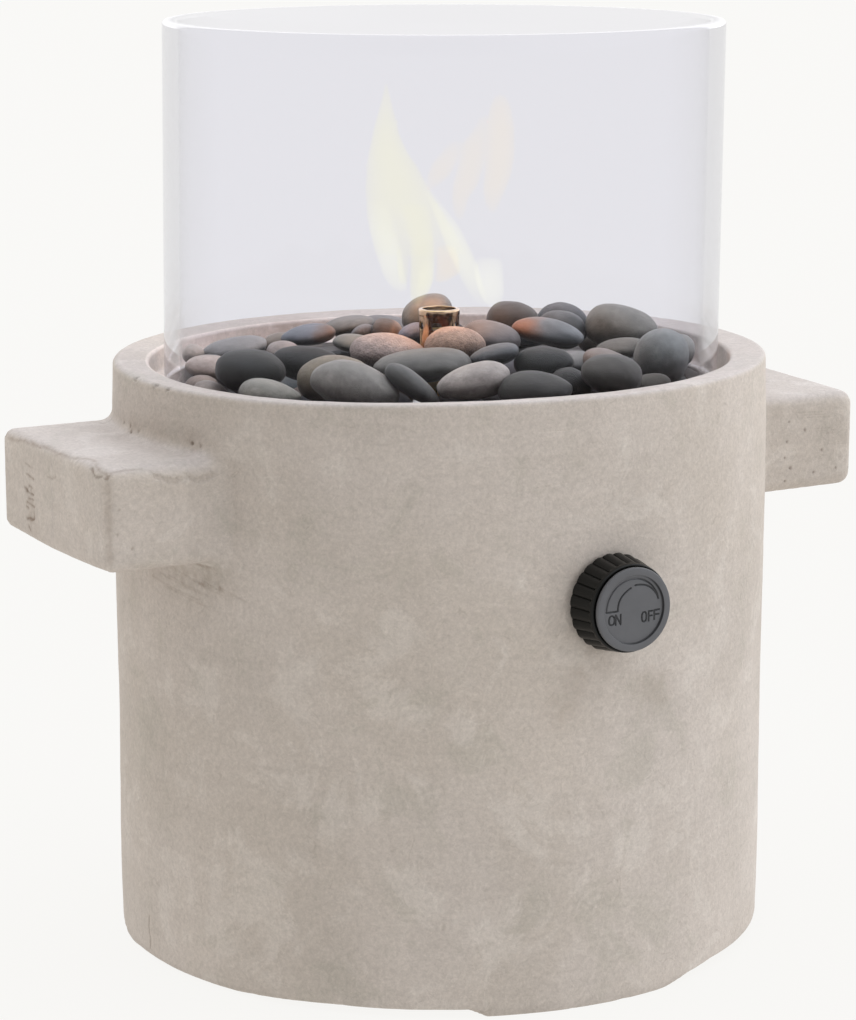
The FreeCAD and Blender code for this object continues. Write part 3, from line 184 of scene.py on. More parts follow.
# --------------------------------------------------------------------------
# node materials
# --------------------------------------------------------------------------
class Nodes:
    """Short names for the node types that the materials use."""

    def __init__(self, name, rough=0.5, colour=(0.8, 0.8, 0.8), metal=0.0, spec=0.5):
        self.mat = bpy.data.materials.new(name)
        self.mat.use_nodes = True
        self.nt = self.mat.node_tree
        self.nt.nodes.clear()
        self.out = self.nt.nodes.new("ShaderNodeOutputMaterial")
        self.p = self.nt.nodes.new("ShaderNodeBsdfPrincipled")
        self.p.inputs["Base Color"].default_value = (*colour, 1)
        self.p.inputs["Roughness"].default_value = rough
        self.p.inputs["Metallic"].default_value = metal
        self.p.inputs["Specular IOR Level"].default_value = spec
        self.nt.links.new(self.p.outputs[0], self.out.inputs["Surface"])
        self.coord = self.nt.nodes.new("ShaderNodeTexCoord").outputs["Object"]

    def link(self, a, b):
        self.nt.links.new(a, b)

    def put(self, socket, value):
        if isinstance(value, bpy.types.NodeSocket):
            self.link(value, socket)
        elif isinstance(value, tuple) and len(value) == 3 and socket.type == "RGBA":
            socket.default_value = (*value, 1)
        else:
            socket.default_value = value

    def stretch(self, scale, move=(0, 0, 0), turn=(0, 0, 0)):
        m = self.nt.nodes.new("ShaderNodeMapping")
        self.link(self.coord, m.inputs["Vector"])
        m.inputs["Scale"].default_value = scale
        m.inputs["Location"].default_value = move
        m.inputs["Rotation"].default_value = turn
        return m.outputs[0]

    def noise(self, scale, detail=3.0, rough=0.5, vector=None, warp=0.0):
        n = self.nt.nodes.new("ShaderNodeTexNoise")
        self.link(vector or self.coord, n.inputs["Vector"])
        n.inputs["Scale"].default_value = scale
        n.inputs["Detail"].default_value = detail
        n.inputs["Roughness"].default_value = rough
        n.inputs["Distortion"].default_value = warp
        return n.outputs["Fac"]

    def voronoi(self, scale, vector=None, feature="F1", out="Distance"):
        n = self.nt.nodes.new("ShaderNodeTexVoronoi")
        n.feature = feature
        self.link(vector or self.coord, n.inputs["Vector"])
        n.inputs["Scale"].default_value = scale
        return n.outputs[out]

    def remap(self, value, a, b, lo=0.0, hi=1.0, smooth=False):
        n = self.nt.nodes.new("ShaderNodeMapRange")
        if smooth:
            n.interpolation_type = "SMOOTHSTEP"
        self.put(n.inputs["Value"], value)
        n.inputs["From Min"].default_value = a
        n.inputs["From Max"].default_value = b
        n.inputs["To Min"].default_value = lo
        n.inputs["To Max"].default_value = hi
        return n.outputs[0]

    def math(self, kind, a, b=0.0, clamp=False):
        n = self.nt.nodes.new("ShaderNodeMath")
        n.operation = kind
        n.use_clamp = clamp
        self.put(n.inputs[0], a)
        self.put(n.inputs[1], b)
        return n.outputs[0]

    def mix(self, fac, a, b, kind="MIX"):
        n = self.nt.nodes.new("ShaderNodeMix")
        n.data_type = "RGBA"
        n.blend_type = kind
        n.clamp_factor = True
        self.put(n.inputs[0], fac)
        self.put(n.inputs[6], a)
        self.put(n.inputs[7], b)
        return n.outputs[2]

    def scale_colour(self, colour, factor):
        """The colour times a number, as an RGB product."""
        n = self.nt.nodes.new("ShaderNodeVectorMath")
        n.operation = "SCALE"
        self.put(n.inputs[0], colour)
        self.put(n.inputs["Scale"], factor)
        return n.outputs[0]

    def attribute(self, name, colour=False):
        n = self.nt.nodes.new("ShaderNodeAttribute")
        n.attribute_name = name
        return n.outputs["Color" if colour else "Fac"]

    def bump(self, height, strength, distance, normal=None):
        n = self.nt.nodes.new("ShaderNodeBump")
        self.link(height, n.inputs["Height"])
        n.inputs["Strength"].default_value = strength
        n.inputs["Distance"].default_value = distance
        if normal is not None:
            self.link(normal, n.inputs["Normal"])
        return n.outputs[0]

    def surface(self, colour=None, rough=None, normal=None):
        if colour is not None:
            self.put(self.p.inputs["Base Color"], colour)
        if rough is not None:
            self.put(self.p.inputs["Roughness"], rough)
        if normal is not None:
            self.link(normal, self.p.inputs["Normal"])
        return self.mat


def concrete_material():
    k = Nodes("concrete", rough=0.72, spec=0.45)
    tall = k.stretch((1, 1, 0.35))
    flat = k.stretch((0.22, 0.22, 3.2))
    big = k.noise(11, 5, 0.6, warp=0.5)
    mid = k.noise(38, 10, 0.70, warp=0.8)
    fibre = k.noise(210, 4, 0.62, warp=2.6)
    small = k.noise(150, 6, 0.62, warp=0.5)
    grain = k.noise(760, 3, 0.65)
    fine = k.noise(1700, 2, 0.6)
    brush = k.noise(95, 6, 0.65, vector=flat)
    drift = k.noise(46, 5, 0.6, vector=tall)
    # thin curved hairs: where a smooth noise crosses its middle, broken up by another
    hair_a = k.math("ABSOLUTE", k.math("SUBTRACT", k.noise(75, 1, 0.4, warp=1.6), 0.5))
    hair_b = k.math("ABSOLUTE", k.math("SUBTRACT", k.noise(90, 1, 0.4, vector=k.stretch((1, 1, 1), (3, 5, 7)), warp=1.6), 0.5))
    dark_hair = k.math("MULTIPLY", k.remap(hair_a, 0.004, 0.018, 1, 0), k.remap(k.noise(120, 3, 0.6), 0.55, 0.64, 0, 1))
    pale_hair = k.math("MULTIPLY", k.remap(hair_b, 0.004, 0.020, 1, 0), k.remap(k.noise(95, 3, 0.6, vector=tall), 0.53, 0.62, 0, 1))
    warm = k.remap(big, 0.36, 0.64, 0, 1, True)
    colour = k.mix(warm, (0.497, 0.436, 0.379), (0.541, 0.478, 0.425))
    # feathered patches, mostly where the casting has them
    where = k.math("ADD", mid, k.math("MULTIPLY", k.attribute("patch"), 0.15))
    dull = k.remap(where, 0.53, 0.66, 0, 1, True)
    colour = k.mix(k.math("MULTIPLY", dull, 0.38), colour, (0.415, 0.378, 0.318))
    light = k.remap(k.math("SUBTRACT", mid, k.math("MULTIPLY", k.attribute("patch"), 0.10)), 0.47, 0.37, 0, 1, True)
    colour = k.mix(k.math("MULTIPLY", light, 0.35), colour, (0.640, 0.580, 0.520))
    tone = k.math("MULTIPLY", k.remap(drift, 0.3, 0.7, 0.97, 1.03), k.remap(brush, 0.32, 0.68, 0.975, 1.025))
    tone = k.math("MULTIPLY", tone, k.remap(fibre, 0.32, 0.68, 0.95, 1.05))
    tone = k.math("MULTIPLY", tone, k.remap(grain, 0.33, 0.67, 0.93, 1.07))
    tone = k.math("MULTIPLY", tone, k.remap(fine, 0.33, 0.67, 0.955, 1.045))
    colour = k.scale_colour(colour, tone)
    stain = k.math("MULTIPLY", k.attribute("stain"), k.remap(fibre, 0.35, 0.6, 0.7, 1.15))
    colour = k.mix(stain, colour, k.mix(0.72, colour, (0.21, 0.140, 0.090)))
    # painted light: paler and cooler where the mesh marks upward faces and the recess wall
    colour = k.mix(k.attribute("pale"), colour, (1.025, 1.05, 1.115), "MULTIPLY")
    # the shade attribute holds painted light and shade besides the casting's own tone
    shade = k.attribute("shade")
    colour = k.scale_colour(colour, shade)
    colour = k.mix(k.math("MULTIPLY", dark_hair, 0.20), colour, (0.24, 0.20, 0.155))
    colour = k.mix(k.math("MULTIPLY", pale_hair, 0.16), colour, (0.74, 0.69, 0.62))
    height = k.math("ADD", k.math("MULTIPLY", fibre, 0.7), k.math("MULTIPLY", grain, 0.25))
    height = k.math("ADD", height, k.math("MULTIPLY", brush, 0.4))
    height = k.math("ADD", height, k.math("MULTIPLY", small, 0.4))
    rough = k.remap(small, 0.3, 0.7, 0.66, 0.82)
    return k.surface(colour, rough, k.bump(height, 0.5, 0.0006))


def glass_material():
    """Clear glass: each face tints what is behind it and mirrors a little."""
    k = Nodes("clear_glass", rough=0.03, colour=(0.84, 0.84, 0.862), metal=1.0)
    weight = k.nt.nodes.new("ShaderNodeLayerWeight")
    weight.inputs["Blend"].default_value = 0.5

    def ramp(rows):
        n = k.nt.nodes.new("ShaderNodeValToRGB")
        e = n.color_ramp.elements
        e[0].position, e[0].color = rows[0][0], (*rows[0][1], 1)
        e[1].position, e[1].color = rows[-1][0], (*rows[-1][1], 1)
        for at, colour in rows[1:-1]:
            q = e.new(at)
            q.color = (*colour, 1)
        k.link(weight.outputs["Facing"], n.inputs[0])
        return n.outputs[0]

    outer = ramp([(0.40, (0.953, 0.953, 0.970)), (0.57, (0.932, 0.932, 0.948)), (0.66, (0.895, 0.895, 0.912)), (0.90, (0.885, 0.885, 0.902)), (0.985, (0.93, 0.93, 0.945)), (1.0, (0.96, 0.96, 0.97))])
    inner = ramp([(0.50, (0.953, 0.953, 0.970)), (0.70, (0.958, 0.958, 0.972)), (0.90, (0.98, 0.98, 0.985)), (1.0, (1.0, 1.0, 1.0))])
    clear = k.nt.nodes.new("ShaderNodeBsdfTransparent")
    k.link(k.mix(k.attribute("outer"), inner, outer), clear.inputs["Color"])
    low_edge = k.math("ADD", k.math("MULTIPLY", k.math("POWER", weight.outputs["Facing"], 5.0), 0.30), 0.010)
    band = k.remap(weight.outputs["Facing"], 0.60, 0.74, 0, 0.56, True)
    gloss = k.math("MAXIMUM", low_edge, k.math("MULTIPLY", band, k.attribute("outer")))
    mix = k.nt.nodes.new("ShaderNodeMixShader")
    k.link(gloss, mix.inputs[0])
    k.link(clear.outputs[0], mix.inputs[1])
    k.link(k.p.outputs[0], mix.inputs[2])
    k.link(mix.outputs[0], k.out.inputs["Surface"])
    return k.mat


def pebble_material(name, granular=0.0):
    k = Nodes(name, rough=0.66, spec=0.3)
    k.p.inputs["Sheen Weight"].default_value = 0.08
    k.p.inputs["Sheen Roughness"].default_value = 0.45
    # the stones' colours from the mesh, with painted shade towards their undersides
    base = k.attribute("tone", True)
    dust_and_sheen = k.attribute("dust_and_sheen")
    cloud = k.noise(85, 5, 0.62, warp=0.5)
    fine = k.noise(480, 4, 0.65)
    grit = k.noise(1700, 2, 0.6)
    tone = k.math("MULTIPLY", k.remap(cloud, 0.3, 0.7, 0.80, 1.20), k.remap(fine, 0.32, 0.68, 0.87, 1.13))
    tone = k.math("MULTIPLY", tone, k.remap(grit, 0.33, 0.67, 0.90, 1.10))
    colour = k.scale_colour(base, tone)
    # painted highlight and dust: the stones are lighter on top, partly dust and partly painted sheen
    colour = k.mix(k.math("MULTIPLY", dust_and_sheen, k.remap(fine, 0.3, 0.7, 0.7, 1.0)), colour, k.mix(0.5, k.scale_colour(base, 1.9), (0.24, 0.22, 0.205)))
    flecks = k.voronoi(900)
    fleck = k.remap(flecks, 0.08, 0.14, 0.12 + 0.33 * min(granular, 0), 0)
    colour = k.mix(fleck, colour, (0.40, 0.37, 0.33))
    height = k.math("ADD", k.math("MULTIPLY", fine, 0.6), k.math("MULTIPLY", grit, 0.35 + granular))
    rough = k.remap(cloud, 0.3, 0.7, 0.56, 0.72)
    return k.surface(colour, rough, k.bump(height, 0.4 + (0.5 if granular > 0 else 1.0) * granular, 0.0004))


def plain_metal(name, colour, rough, brushed=(1, 1, 0.05), amount=0.12, dirt=0.0):
    k = Nodes(name, rough=rough, colour=colour, metal=1.0)
    lines = k.noise(900, 3, 0.6, vector=k.stretch(brushed))
    cloud = k.noise(70, 4, 0.6)
    tone = k.math("MULTIPLY", k.remap(lines, 0.3, 0.7, 1 - amount, 1 + amount * 0.5), k.remap(cloud, 0.35, 0.65, 0.9 - dirt, 1.04))
    shine = k.math("ADD", k.remap(lines, 0.3, 0.7, rough * 0.8, rough * 1.25), k.remap(cloud, 0.4, 0.7, 0, 0.08))
    return k.surface(k.scale_colour(colour, tone), shine, k.bump(lines, 0.25, 0.0001))


def plain_solid(name, colour, rough, grain=900, depth=0.00008, spec=0.5, mottle=0.12):
    k = Nodes(name, rough=rough, colour=colour, spec=spec)
    fine = k.noise(grain, 3, 0.6)
    cloud = k.noise(55, 4, 0.6)
    tone = k.math("MULTIPLY", k.remap(fine, 0.3, 0.7, 1 - mottle * 0.5, 1 + mottle * 0.5), k.remap(cloud, 0.35, 0.65, 1 - mottle, 1 + mottle))
    shine = k.remap(fine, 0.3, 0.7, rough * 0.88, min(1.0, rough * 1.12))
    return k.surface(k.scale_colour(colour, tone), shine, k.bump(fine, 0.3, depth))


CONCRETE = concrete_material()
GLASS = glass_material()


def finish_materials():
    m = {}
    m["dark_enamel"] = plain_solid("dark_enamel", (0.022, 0.022, 0.022), 0.45, mottle=0.2)
    m["zinc_steel"] = plain_metal("zinc_steel", (0.60, 0.60, 0.585), 0.36)
    m["stainless"] = plain_metal("stainless", (0.62, 0.62, 0.62), 0.28, brushed=(0.05, 1, 1))
    m["brass"] = plain_metal("brass", (0.78, 0.58, 0.29), 0.30, dirt=0.05)
    m["copper_bronze"] = plain_metal("copper_bronze", (0.50, 0.27, 0.14), 0.13, brushed=(0.05, 0.05, 1), amount=0.12, dirt=0.12)
    k = Nodes("burner_copper", rough=0.12, colour=(0.50, 0.27, 0.14), metal=1.0)
    cloud = k.noise(240, 4, 0.6, warp=0.5)
    lines = k.noise(900, 3, 0.6, vector=k.stretch((0.05, 0.05, 1)))
    heat = k.attribute("burnt")
    gold = k.mix(k.remap(cloud, 0.35, 0.65, 0, 1), (0.74, 0.54, 0.36), (0.58, 0.41, 0.26))
    burnt = k.mix(k.remap(cloud, 0.35, 0.65, 0, 1), (0.066, 0.022, 0.0085), (0.042, 0.014, 0.006))
    colour = k.mix(heat, gold, burnt)
    colour = k.scale_colour(colour, k.remap(lines, 0.3, 0.7, 0.88, 1.06))
    # the inside of the cup is darker and rougher
    cup_inside_dark = k.attribute("cup_inside_dark")
    colour = k.mix(cup_inside_dark, colour, (0.010, 0.007, 0.006))
    m["burner_copper"] = k.surface(colour, k.math("ADD", k.remap(lines, 0.3, 0.7, 0.10, 0.17), k.math("MULTIPLY", cup_inside_dark, 0.4)), k.bump(lines, 0.2, 0.00008))
    m["pad_rubber"] = plain_solid("pad_rubber", (0.035, 0.035, 0.036), 0.75)
    m["seal_rubber"] = plain_solid("seal_rubber", (0.02, 0.02, 0.021), 0.6)
    m["bush_plastic"] = plain_solid("bush_plastic", (0.05, 0.05, 0.052), 0.5)
    m["knob_black"] = plain_solid("knob_black", (0.0040, 0.0042, 0.0036), 0.36, grain=2600, depth=0.00003, spec=0.22, mottle=0.1)
    m["knob_grey"] = plain_solid("knob_grey", (0.118, 0.118, 0.124), 0.46, grain=3200, depth=0.00002, mottle=0.06)
    m["can_paint"] = plain_solid("can_paint", (0.50, 0.52, 0.55), 0.30, mottle=0.04)
    m["can_zinc"] = plain_metal("can_zinc", (0.66, 0.66, 0.64), 0.30)
    return m


FINISH = finish_materials()
FINISH["concrete"] = CONCRETE
FINISH["clear_glass"] = GLASS

# --------------------------------------------------------------------------
# concrete base: the surface of a distance field on a grid in cylindrical
# coordinates, so that the rim, the ledge and the feet follow the grid
# --------------------------------------------------------------------------
def both(a, b, k):
    """Inside both, with the edge between them rounded by k."""
    return np.minimum(np.maximum(a, b), -k) + np.hypot(np.maximum(a + k, 0), np.maximum(b + k, 0))


def either(a, b, k):
    return -both(-a, -b, k)


# the lower edge, the foot rounding and the top of the rim, by angle from the front
LOW_AT = (-180, -158, -150, -118, -111, -104, -100, -96, -90, -66, -60, -47, -24, -21, 13, 19, 26, 60, 67, 108, 116, 150, 158, 180)
LOW = (0.3, 0.3, 2.8, 2.6, 0.9, 0.1, 0.1, 0.6, 0.9, 0.9, 1.4, 2.4, 2.4, 0.05, 0.05, 2.2, 3.4, 3.4, 0.5, 0.5, 3.0, 3.0, 0.3, 0.3)
SOFT = (0.8, 0.8, 0.8, 0.8, 0.9, 0.4, 0.4, 0.9, 1.0, 1.0, 0.8, 0.8, 0.6, 0.4, 0.4, 0.6, 0.8, 0.8, 0.8, 0.8, 0.8, 0.8, 0.8, 0.8)
WALL_Z = (0, 6, 15, 30, 50, 80, 120, 150, 172, 180, 188)
WALL_R = (104.3, 104.4, 104.6, 104.7, 104.6, 104.4, 104.75, 104.95, 104.8, 104.5, 104.3)
RIM_AT = (-180, -150, -120, -99, -65, -53, -44, -31, -22, -13, 40, 95, 130, 155, 180)
RIM_DZ = (-1.05, -1.15, -1.1, -1.2, -1.3, -1.0, -0.55, 0.05, 0.3, 0.5, 0.6, 0.45, -0.1, -0.8, -1.05)


def body_distance(x, y, z):
    r = np.hypot(x, y)
    phi = np.degrees(np.arctan2(x, -y))
    low = np.interp(phi, LOW_AT, LOW)
    soft = np.interp(phi, LOW_AT, SOFT)
    wall = np.interp(z, WALL_Z, WALL_R)
    top = 187.6 + np.interp(phi, RIM_AT, RIM_DZ) - 1.1 * np.clip((104.5 - r) / 11.5, 0, 1.2)
    core = both(r - wall, z - top, np.interp(phi, (-180, -95, -70, -35, 180), (2.0, 2.0, 1.5, 1.35, 1.6)))
    left = x < 0
    bow = 1 - (y / 41.2) ** 2
    over = np.where(left, 167.5, 169.3 + 2.3 * (y + 41.2) / 82.4)
    under = np.where(left, 136.0 - 0.9 * bow, 137.6 + 0.4 * (np.abs(x) - 100) / 34.5)
    near_body = smooth_step(130.0, 108.0, np.abs(x)) * (z > 152) * (y < 0)
    rr = np.where(left, 3.5 + 3.5 * near_body, 4.4)
    q = (
        np.abs(x) - np.where(left, 134.5, 134.7) + rr,
        np.abs(y) - 41.2 + rr,
        np.maximum(z - over, under - z) + rr,
    )
    lug = (
        np.sqrt(sum(np.maximum(c, 0) ** 2 for c in q))
        + np.minimum(np.maximum(np.maximum(q[0], q[1]), q[2]), 0)
        - rr
    )
    shape = either(core, lug, 4.0)
    shape = both(shape, low - z, soft)
    shape = both(shape, -np.maximum(r - 93.0, 178.0 - z), 1.0)
    shape = both(shape, -np.maximum(r - 80.0, 176.8 - z), 0.5)
    shape = np.maximum(shape, 70.0 - r)
    bay = both(r - 90.0, z - 164.0, 8.0)
    shape = both(shape, -bay, 1.2)
    rod = np.maximum(np.hypot(x, z - 126.3) - 6.5, y + 60)
    return np.maximum(shape, -rod)


def slope(p, e=0.02):
    g = np.empty_like(p)
    for i in range(3):
        d = np.zeros(3)
        d[i] = e
        g[:, i] = (body_distance(*(p + d).T) - body_distance(*(p - d).T)) / (2 * e)
    return g


def steps(*parts):
    """Grid positions from (start, stop, step) stretches."""
    out = []
    for a, b, s in parts:
        n = max(1, int(round((b - a) / s)))
        out.extend(np.linspace(a, b, n, endpoint=False))
    out.append(parts[-1][1])
    return np.array(out)


def body_mesh():
    c = 1.0
    rr = steps((67.2, 69.0, 0.9 * c), (69.0, 71.4, 0.6 * c), (71.4, 79.0, 1.9 * c), (79.0, 81.2, 0.55 * c), (81.2, 88.8, 1.9 * c),
               (88.8, 94.6, 0.55 * c), (94.6, 101.5, 1.15 * c), (101.5, 106.1, 0.6 * c), (106.1, 112.0, 0.95 * c), (112.0, 147.0, 1.25 * c))
    zz = steps((-0.7, 5.1, 0.55 * c), (5.1, 134.5, 1.6 * c), (134.5, 142.5, 1.0 * c), (142.5, 161.5, 1.5 * c), (161.5, 169.5, 0.8 * c),
               (169.5, 175.7, 1.3 * c), (175.7, 179.3, 0.5 * c), (179.3, 182.6, 1.1 * c), (182.6, 189.3, 0.5 * c))
    n = 440
    ang = np.arange(n) * 2 * math.pi / n
    field = np.empty((len(rr), n, len(zz)), np.float32)
    ca, sa = np.cos(ang)[:, None], np.sin(ang)[:, None]
    for i, r in enumerate(rr):
        field[i] = body_distance(r * ca + 0 * zz, r * sa + 0 * zz, zz[None, :] + 0 * ca)
    inside = field < 0
    nr, nz = len(rr) - 1, len(zz) - 1

    def corner(di, dj, dk, a):
        a = np.roll(a, -dj, axis=1) if dj else a
        return a[di : di + nr, :, dk : dk + nz]

    hit = np.zeros((nr, n, nz), bool)
    first = corner(0, 0, 0, inside)
    for di in (0, 1):
        for dj in (0, 1):
            for dk in (0, 1):
                hit |= corner(di, dj, dk, inside) != first
    ci, cj, ck = np.nonzero(hit)
    index = -np.ones(hit.shape, np.int64)
    index[ci, cj, ck] = np.arange(len(ci))
    total = np.zeros((len(ci), 3))
    count = np.zeros(len(ci))
    corners = [(a, b, c3) for a in (0, 1) for b in (0, 1) for c3 in (0, 1)]
    for a in corners:
        for axis in range(3):
            if a[axis]:
                continue
            b = list(a)
            b[axis] = 1
            fa = field[ci + a[0], (cj + a[1]) % n, ck + a[2]]
            fb = field[ci + b[0], (cj + b[1]) % n, ck + b[2]]
            cross = (fa < 0) != (fb < 0)
            t = np.where(cross, fa / np.where(fa == fb, 1, fa - fb), 0)
            p = np.empty((len(ci), 3))
            for d in range(3):
                p[:, d] = a[d] + (t if d == axis else 0)
            total += p * cross[:, None]
            count += cross
    mean = total / count[:, None]
    r = rr[ci] + mean[:, 0] * (rr[ci + 1] - rr[ci])
    a = (cj + mean[:, 1]) * 2 * math.pi / n
    z = zz[ck] + mean[:, 2] * (zz[ck + 1] - zz[ck])
    verts = np.stack([r * np.cos(a), r * np.sin(a), z], 1)
    for _ in range(4):
        g = slope(verts)
        d = body_distance(*verts.T)
        move = -(d / np.maximum((g * g).sum(1), 0.25))[:, None] * g
        size = np.linalg.norm(move, axis=1)
        verts += move * np.minimum(1, 0.7 / np.maximum(size, 1e-9))[:, None]
    faces = []
    # edges along r
    e = inside[:-1] != inside[1:]
    i, j, k = np.nonzero(e[:, :, 1:nz])
    k = k + 1
    quad = [index[i, (j - 1) % n, k - 1], index[i, j, k - 1], index[i, j, k], index[i, (j - 1) % n, k]]
    faces.append(np.where(inside[i, j, k][:, None], np.stack(quad, 1), np.stack(quad[::-1], 1)))
    # edges along the angle
    e = inside != np.roll(inside, -1, axis=1)
    i, j, k = np.nonzero(e[1:nr, :, 1:nz])
    i, k = i + 1, k + 1
    quad = [index[i - 1, j, k - 1], index[i - 1, j, k], index[i, j, k], index[i, j, k - 1]]
    faces.append(np.where(inside[i, j, k][:, None], np.stack(quad, 1), np.stack(quad[::-1], 1)))
    # edges along z
    e = inside[:, :, :-1] != inside[:, :, 1:]
    i, j, k = np.nonzero(e[1:nr])
    i = i + 1
    quad = [index[i - 1, (j - 1) % n, k], index[i, (j - 1) % n, k], index[i, j, k], index[i - 1, j, k]]
    faces.append(np.where(inside[i, j, k][:, None], np.stack(quad, 1), np.stack(quad[::-1], 1)))
    faces = np.concatenate(faces)
    good = (faces >= 0).all(1)
    return verts, faces[good]


# marks of the casting, each a line of points with (half width, depth, stain,
# shade): gouges and creases of the left lug, nicks of the rim, pits, scratches
def end_face(rows, *look):
    """Strokes on the end of the left lug from (y, z, y, z) rows."""
    return [([(-134.5, a - 2.7, b + 0.57), (-134.5, c - 2.7, d + 0.57)], *look) for a, b, c, d in rows]


def moved(points, dx=-1.1, dy=-2.7, dz=0.57):
    return [(x + dx, y + dy, z + dz) for x, y, z in points]


MARKS = []
MARKS += end_face([(23.4, 150.0, 17.7, 149.8), (25.4, 151.0, 23.1, 150.6), (23.4, 141.5, 18.2, 142.0)], 0.50, 0.40, 0.72, 0.90)
MARKS += end_face([(23.6, 155.7, 17.4, 154.9), (21.2, 152.1, 18.6, 151.9), (21.9, 148.2, 17.8, 148.3), (23.6, 146.8, 17.4, 146.1), (24.2, 145.2, 22.1, 145.0), (17.7, 144.8, 17.5, 142.3), (22.4, 139.7, 21.1, 138.4)], 0.42, 0.24, 0.62, 0.95)
MARKS += end_face([(23.9, 158.8, 17.7, 158.3), (20.2, 150.8, 19.4, 151.3), (5.9, 157.7, 2.4, 157.5), (2.4, 157.5, -0.7, 158.7)], 0.42, 0.12, 0.40, 0.96)
CREASE = moved([(-133.1, 41.0, 165.2), (-133.1, 32.7, 164.6), (-132.6, 26.4, 165.4), (-132.5, 18.9, 165.6), (-132.6, 13.9, 165.4), (-131.9, 10.2, 166.1), (-132.1, 5.1, 166.0),
                (-132.6, -0.1, 165.5), (-132.1, -3.1, 165.9), (-132.3, -6.5, 165.7), (-132.2, -10.7, 165.8), (-131.0, -16.0, 166.2), (-129.1, -21.2, 166.8), (-131.4, -27.5, 166.0), (-132.6, -34.0, 165.5),
                (-132.2, -36.4, 165.6)], -1.1, -2.4, 0.57)
MARKS += [(CREASE, 0.60, 0.10, 0.62, 0.98)]
MARKS += [(moved([(-131.2, -37.4, 165.7), (-128.6, -37.4, 166.1), (-126.2, -37.1, 166.3), (-121.0, -37.4, 166.6)], -1.1, -2.5, 0.5), 0.42, 0.08, 0.30, 0.97)]
MARKS += [([(-133.5, -40.2, 163.5), (-133.4, -40.4, 158.0), (-133.5, -40.2, 151.0), (-133.4, -40.4, 143.5), (-133.2, -40.4, 139.0)], 1.15, 0.08, 0.30, 0.985)]
MARKS += [([p], 0.80, 0.40, 0.70, 0.80) for p in ((-105.5, 5.9, 169.0), (-100.9, -29.1, 170.7))]
MARKS += [([p], 0.8, 0.15, 0.5, 0.85) for p in ((-105.1, 0.9, 170.0), (-104.7, 8.3, 170.6), (-104.0, 14.7, 170.6), (-99.8, -32.8, 170.4))]
MARKS += [([p], w, 0.6, 0.3, 0.75) for p, w in (((-104.8, 5.8, 186.6), 1.5), ((-104.6, -9.3, 186.0), 1.3), ((-103.7, -16.3, 186.2), 1.3))]
MARKS += [(moved([(-132.5, -26.5, 165.5), (-133.4, -31.0, 163.7), (-133.1, -35.1, 164.6)], -1.1, -2.6, 0.5), 0.55, 0.35, 0.5, 0.85)]
MARKS += [(moved([(-132.7, -37.2, 164.0), (-131.7, -37.5, 165.2)], -1.1, -2.6, 0.5), 0.6, 0.3, 0.6, 0.9)]
MARKS += [([p], 0.55, 0.30, 0.25, 0.88) for p in ((-130.2, -41.2, 155.3), (-131.0, -41.2, 147.9), (-126.2, -41.2, 143.2))]
# scratches of the wall and brushed lines on the right lug
MARKS += [(list(p), 0.28, 0.10, -0.15, 1.06) for p in (
    ((-37.3, -98.0, 160.1), (-25.0, -101.9, 161.9), (-13.7, -104.0, 163.3)), ((-23.1, -102.4, 178.8), (-10.7, -104.5, 178.8)), ((-49.3, -92.5, 146.1), (-57.0, -88.0, 144.5), (-64.1, -83.0, 143.5)),
    ((-58.0, -87.0, 82.2), (-60.5, -85.3, 74.4)))]
MARKS += [([(112.0 + 1.7 * i, -41.2, 163.8 - 1.9 * i + (i % 3)), (121.0 + 1.5 * i, -41.2, 163.4 - 1.9 * i + (i % 3))], 0.22, 0.08, 0.10, 0.95) for i in range(7)]
MARKS += [([p], 0.55, 0.35, 0.3, 0.72) for p in ((108.2, -41.2, 161.0), (107.4, -41.0, 154.5), (106.8, -40.6, 149.2), (108.9, -41.2, 145.7), (107.0, -40.8, 141.5), (114.5, -41.2, 157.8), (121.4, -41.2, 150.6), (127.2, -41.2, 144.1), (118.3, -41.2, 143.4))]
MARKS += [([(-105.0, 0.8, 14.0), (-105.0, 1.6, 10.0), (-105.0, 0.6, 6.0), (-104.9, 1.2, 3.0)], 0.35, 0.3, 0.4, 0.8)]
# a shallow wave along the front of the left lug near its top, with painted soft shade along it
MARKS += [([(-118.3, -41.2, 164.5), (-115.2, -41.2, 163.0), (-112.0, -41.2, 162.3), (-108.5, -41.2, 163.4), (-105.0, -41.2, 161.7), (-100.0, -41.4, 163.0)], 1.1, 0.42, 0.14, 0.93)]
# feathered patches: (centre, radius, shade, stain)
PATCHES = [((-16.1, -103.4, 94.4), 6, 0.3, 0.30), ((-10.5, -104.1, 103.1), 5, 0.2, 0.26), ((15.5, -103.5, 98.2), 7, 0.3, 0.22), ((-3.0, -104.6, 108.4), 5, 0.2, 0.20), ((19.6, -102.8, 95.1), 5, 0.2, 0.20)]
PATCHES += [((x, y, z), 7.0, 0.9, 0.0) for x, y, z in (
    (-61.7, -84.6, 120.3), (-65.3, -81.8, 98.8), (-55.5, -88.7, 96.1), (-42.4, -95.6, 85.3), (-65.3, -81.6, 66.4), (-55.5, -88.6, 71.4), (-60.4, -85.1, 43.3), (-55.4, -88.4, 35.6), (-88.9, -54.7, 39.1),
    (-92.5, -48.2, 29.8), (-97.5, -36.9, 17.7), (-76.6, -71.0, 62.1), (-23.3, -101.7, 32.8), (12.1, -103.8, 72.1), (8.7, -104.0, 50.6), (-5.4, -104.2, 33.8), (-74.5, -72.9, 12.0), (-100.1, -30.5, 97.6),
    (-98.6, -35.6, 132.7), (-101.9, -24.5, 127.8), (-33.6, -98.7, 24.1))]
PATCHES += [((x, y, z), 6.5, -0.9, 0.0) for x, y, z in ((-27.3, -101.3, 152.9), (-47.7, -92.9, 46.6), (-19.1, -102.8, 80.8), (-55.5, -88.6, 79.2), (-96.5, -40.1, 74.2), (-65.3, -81.5, 52.4))]
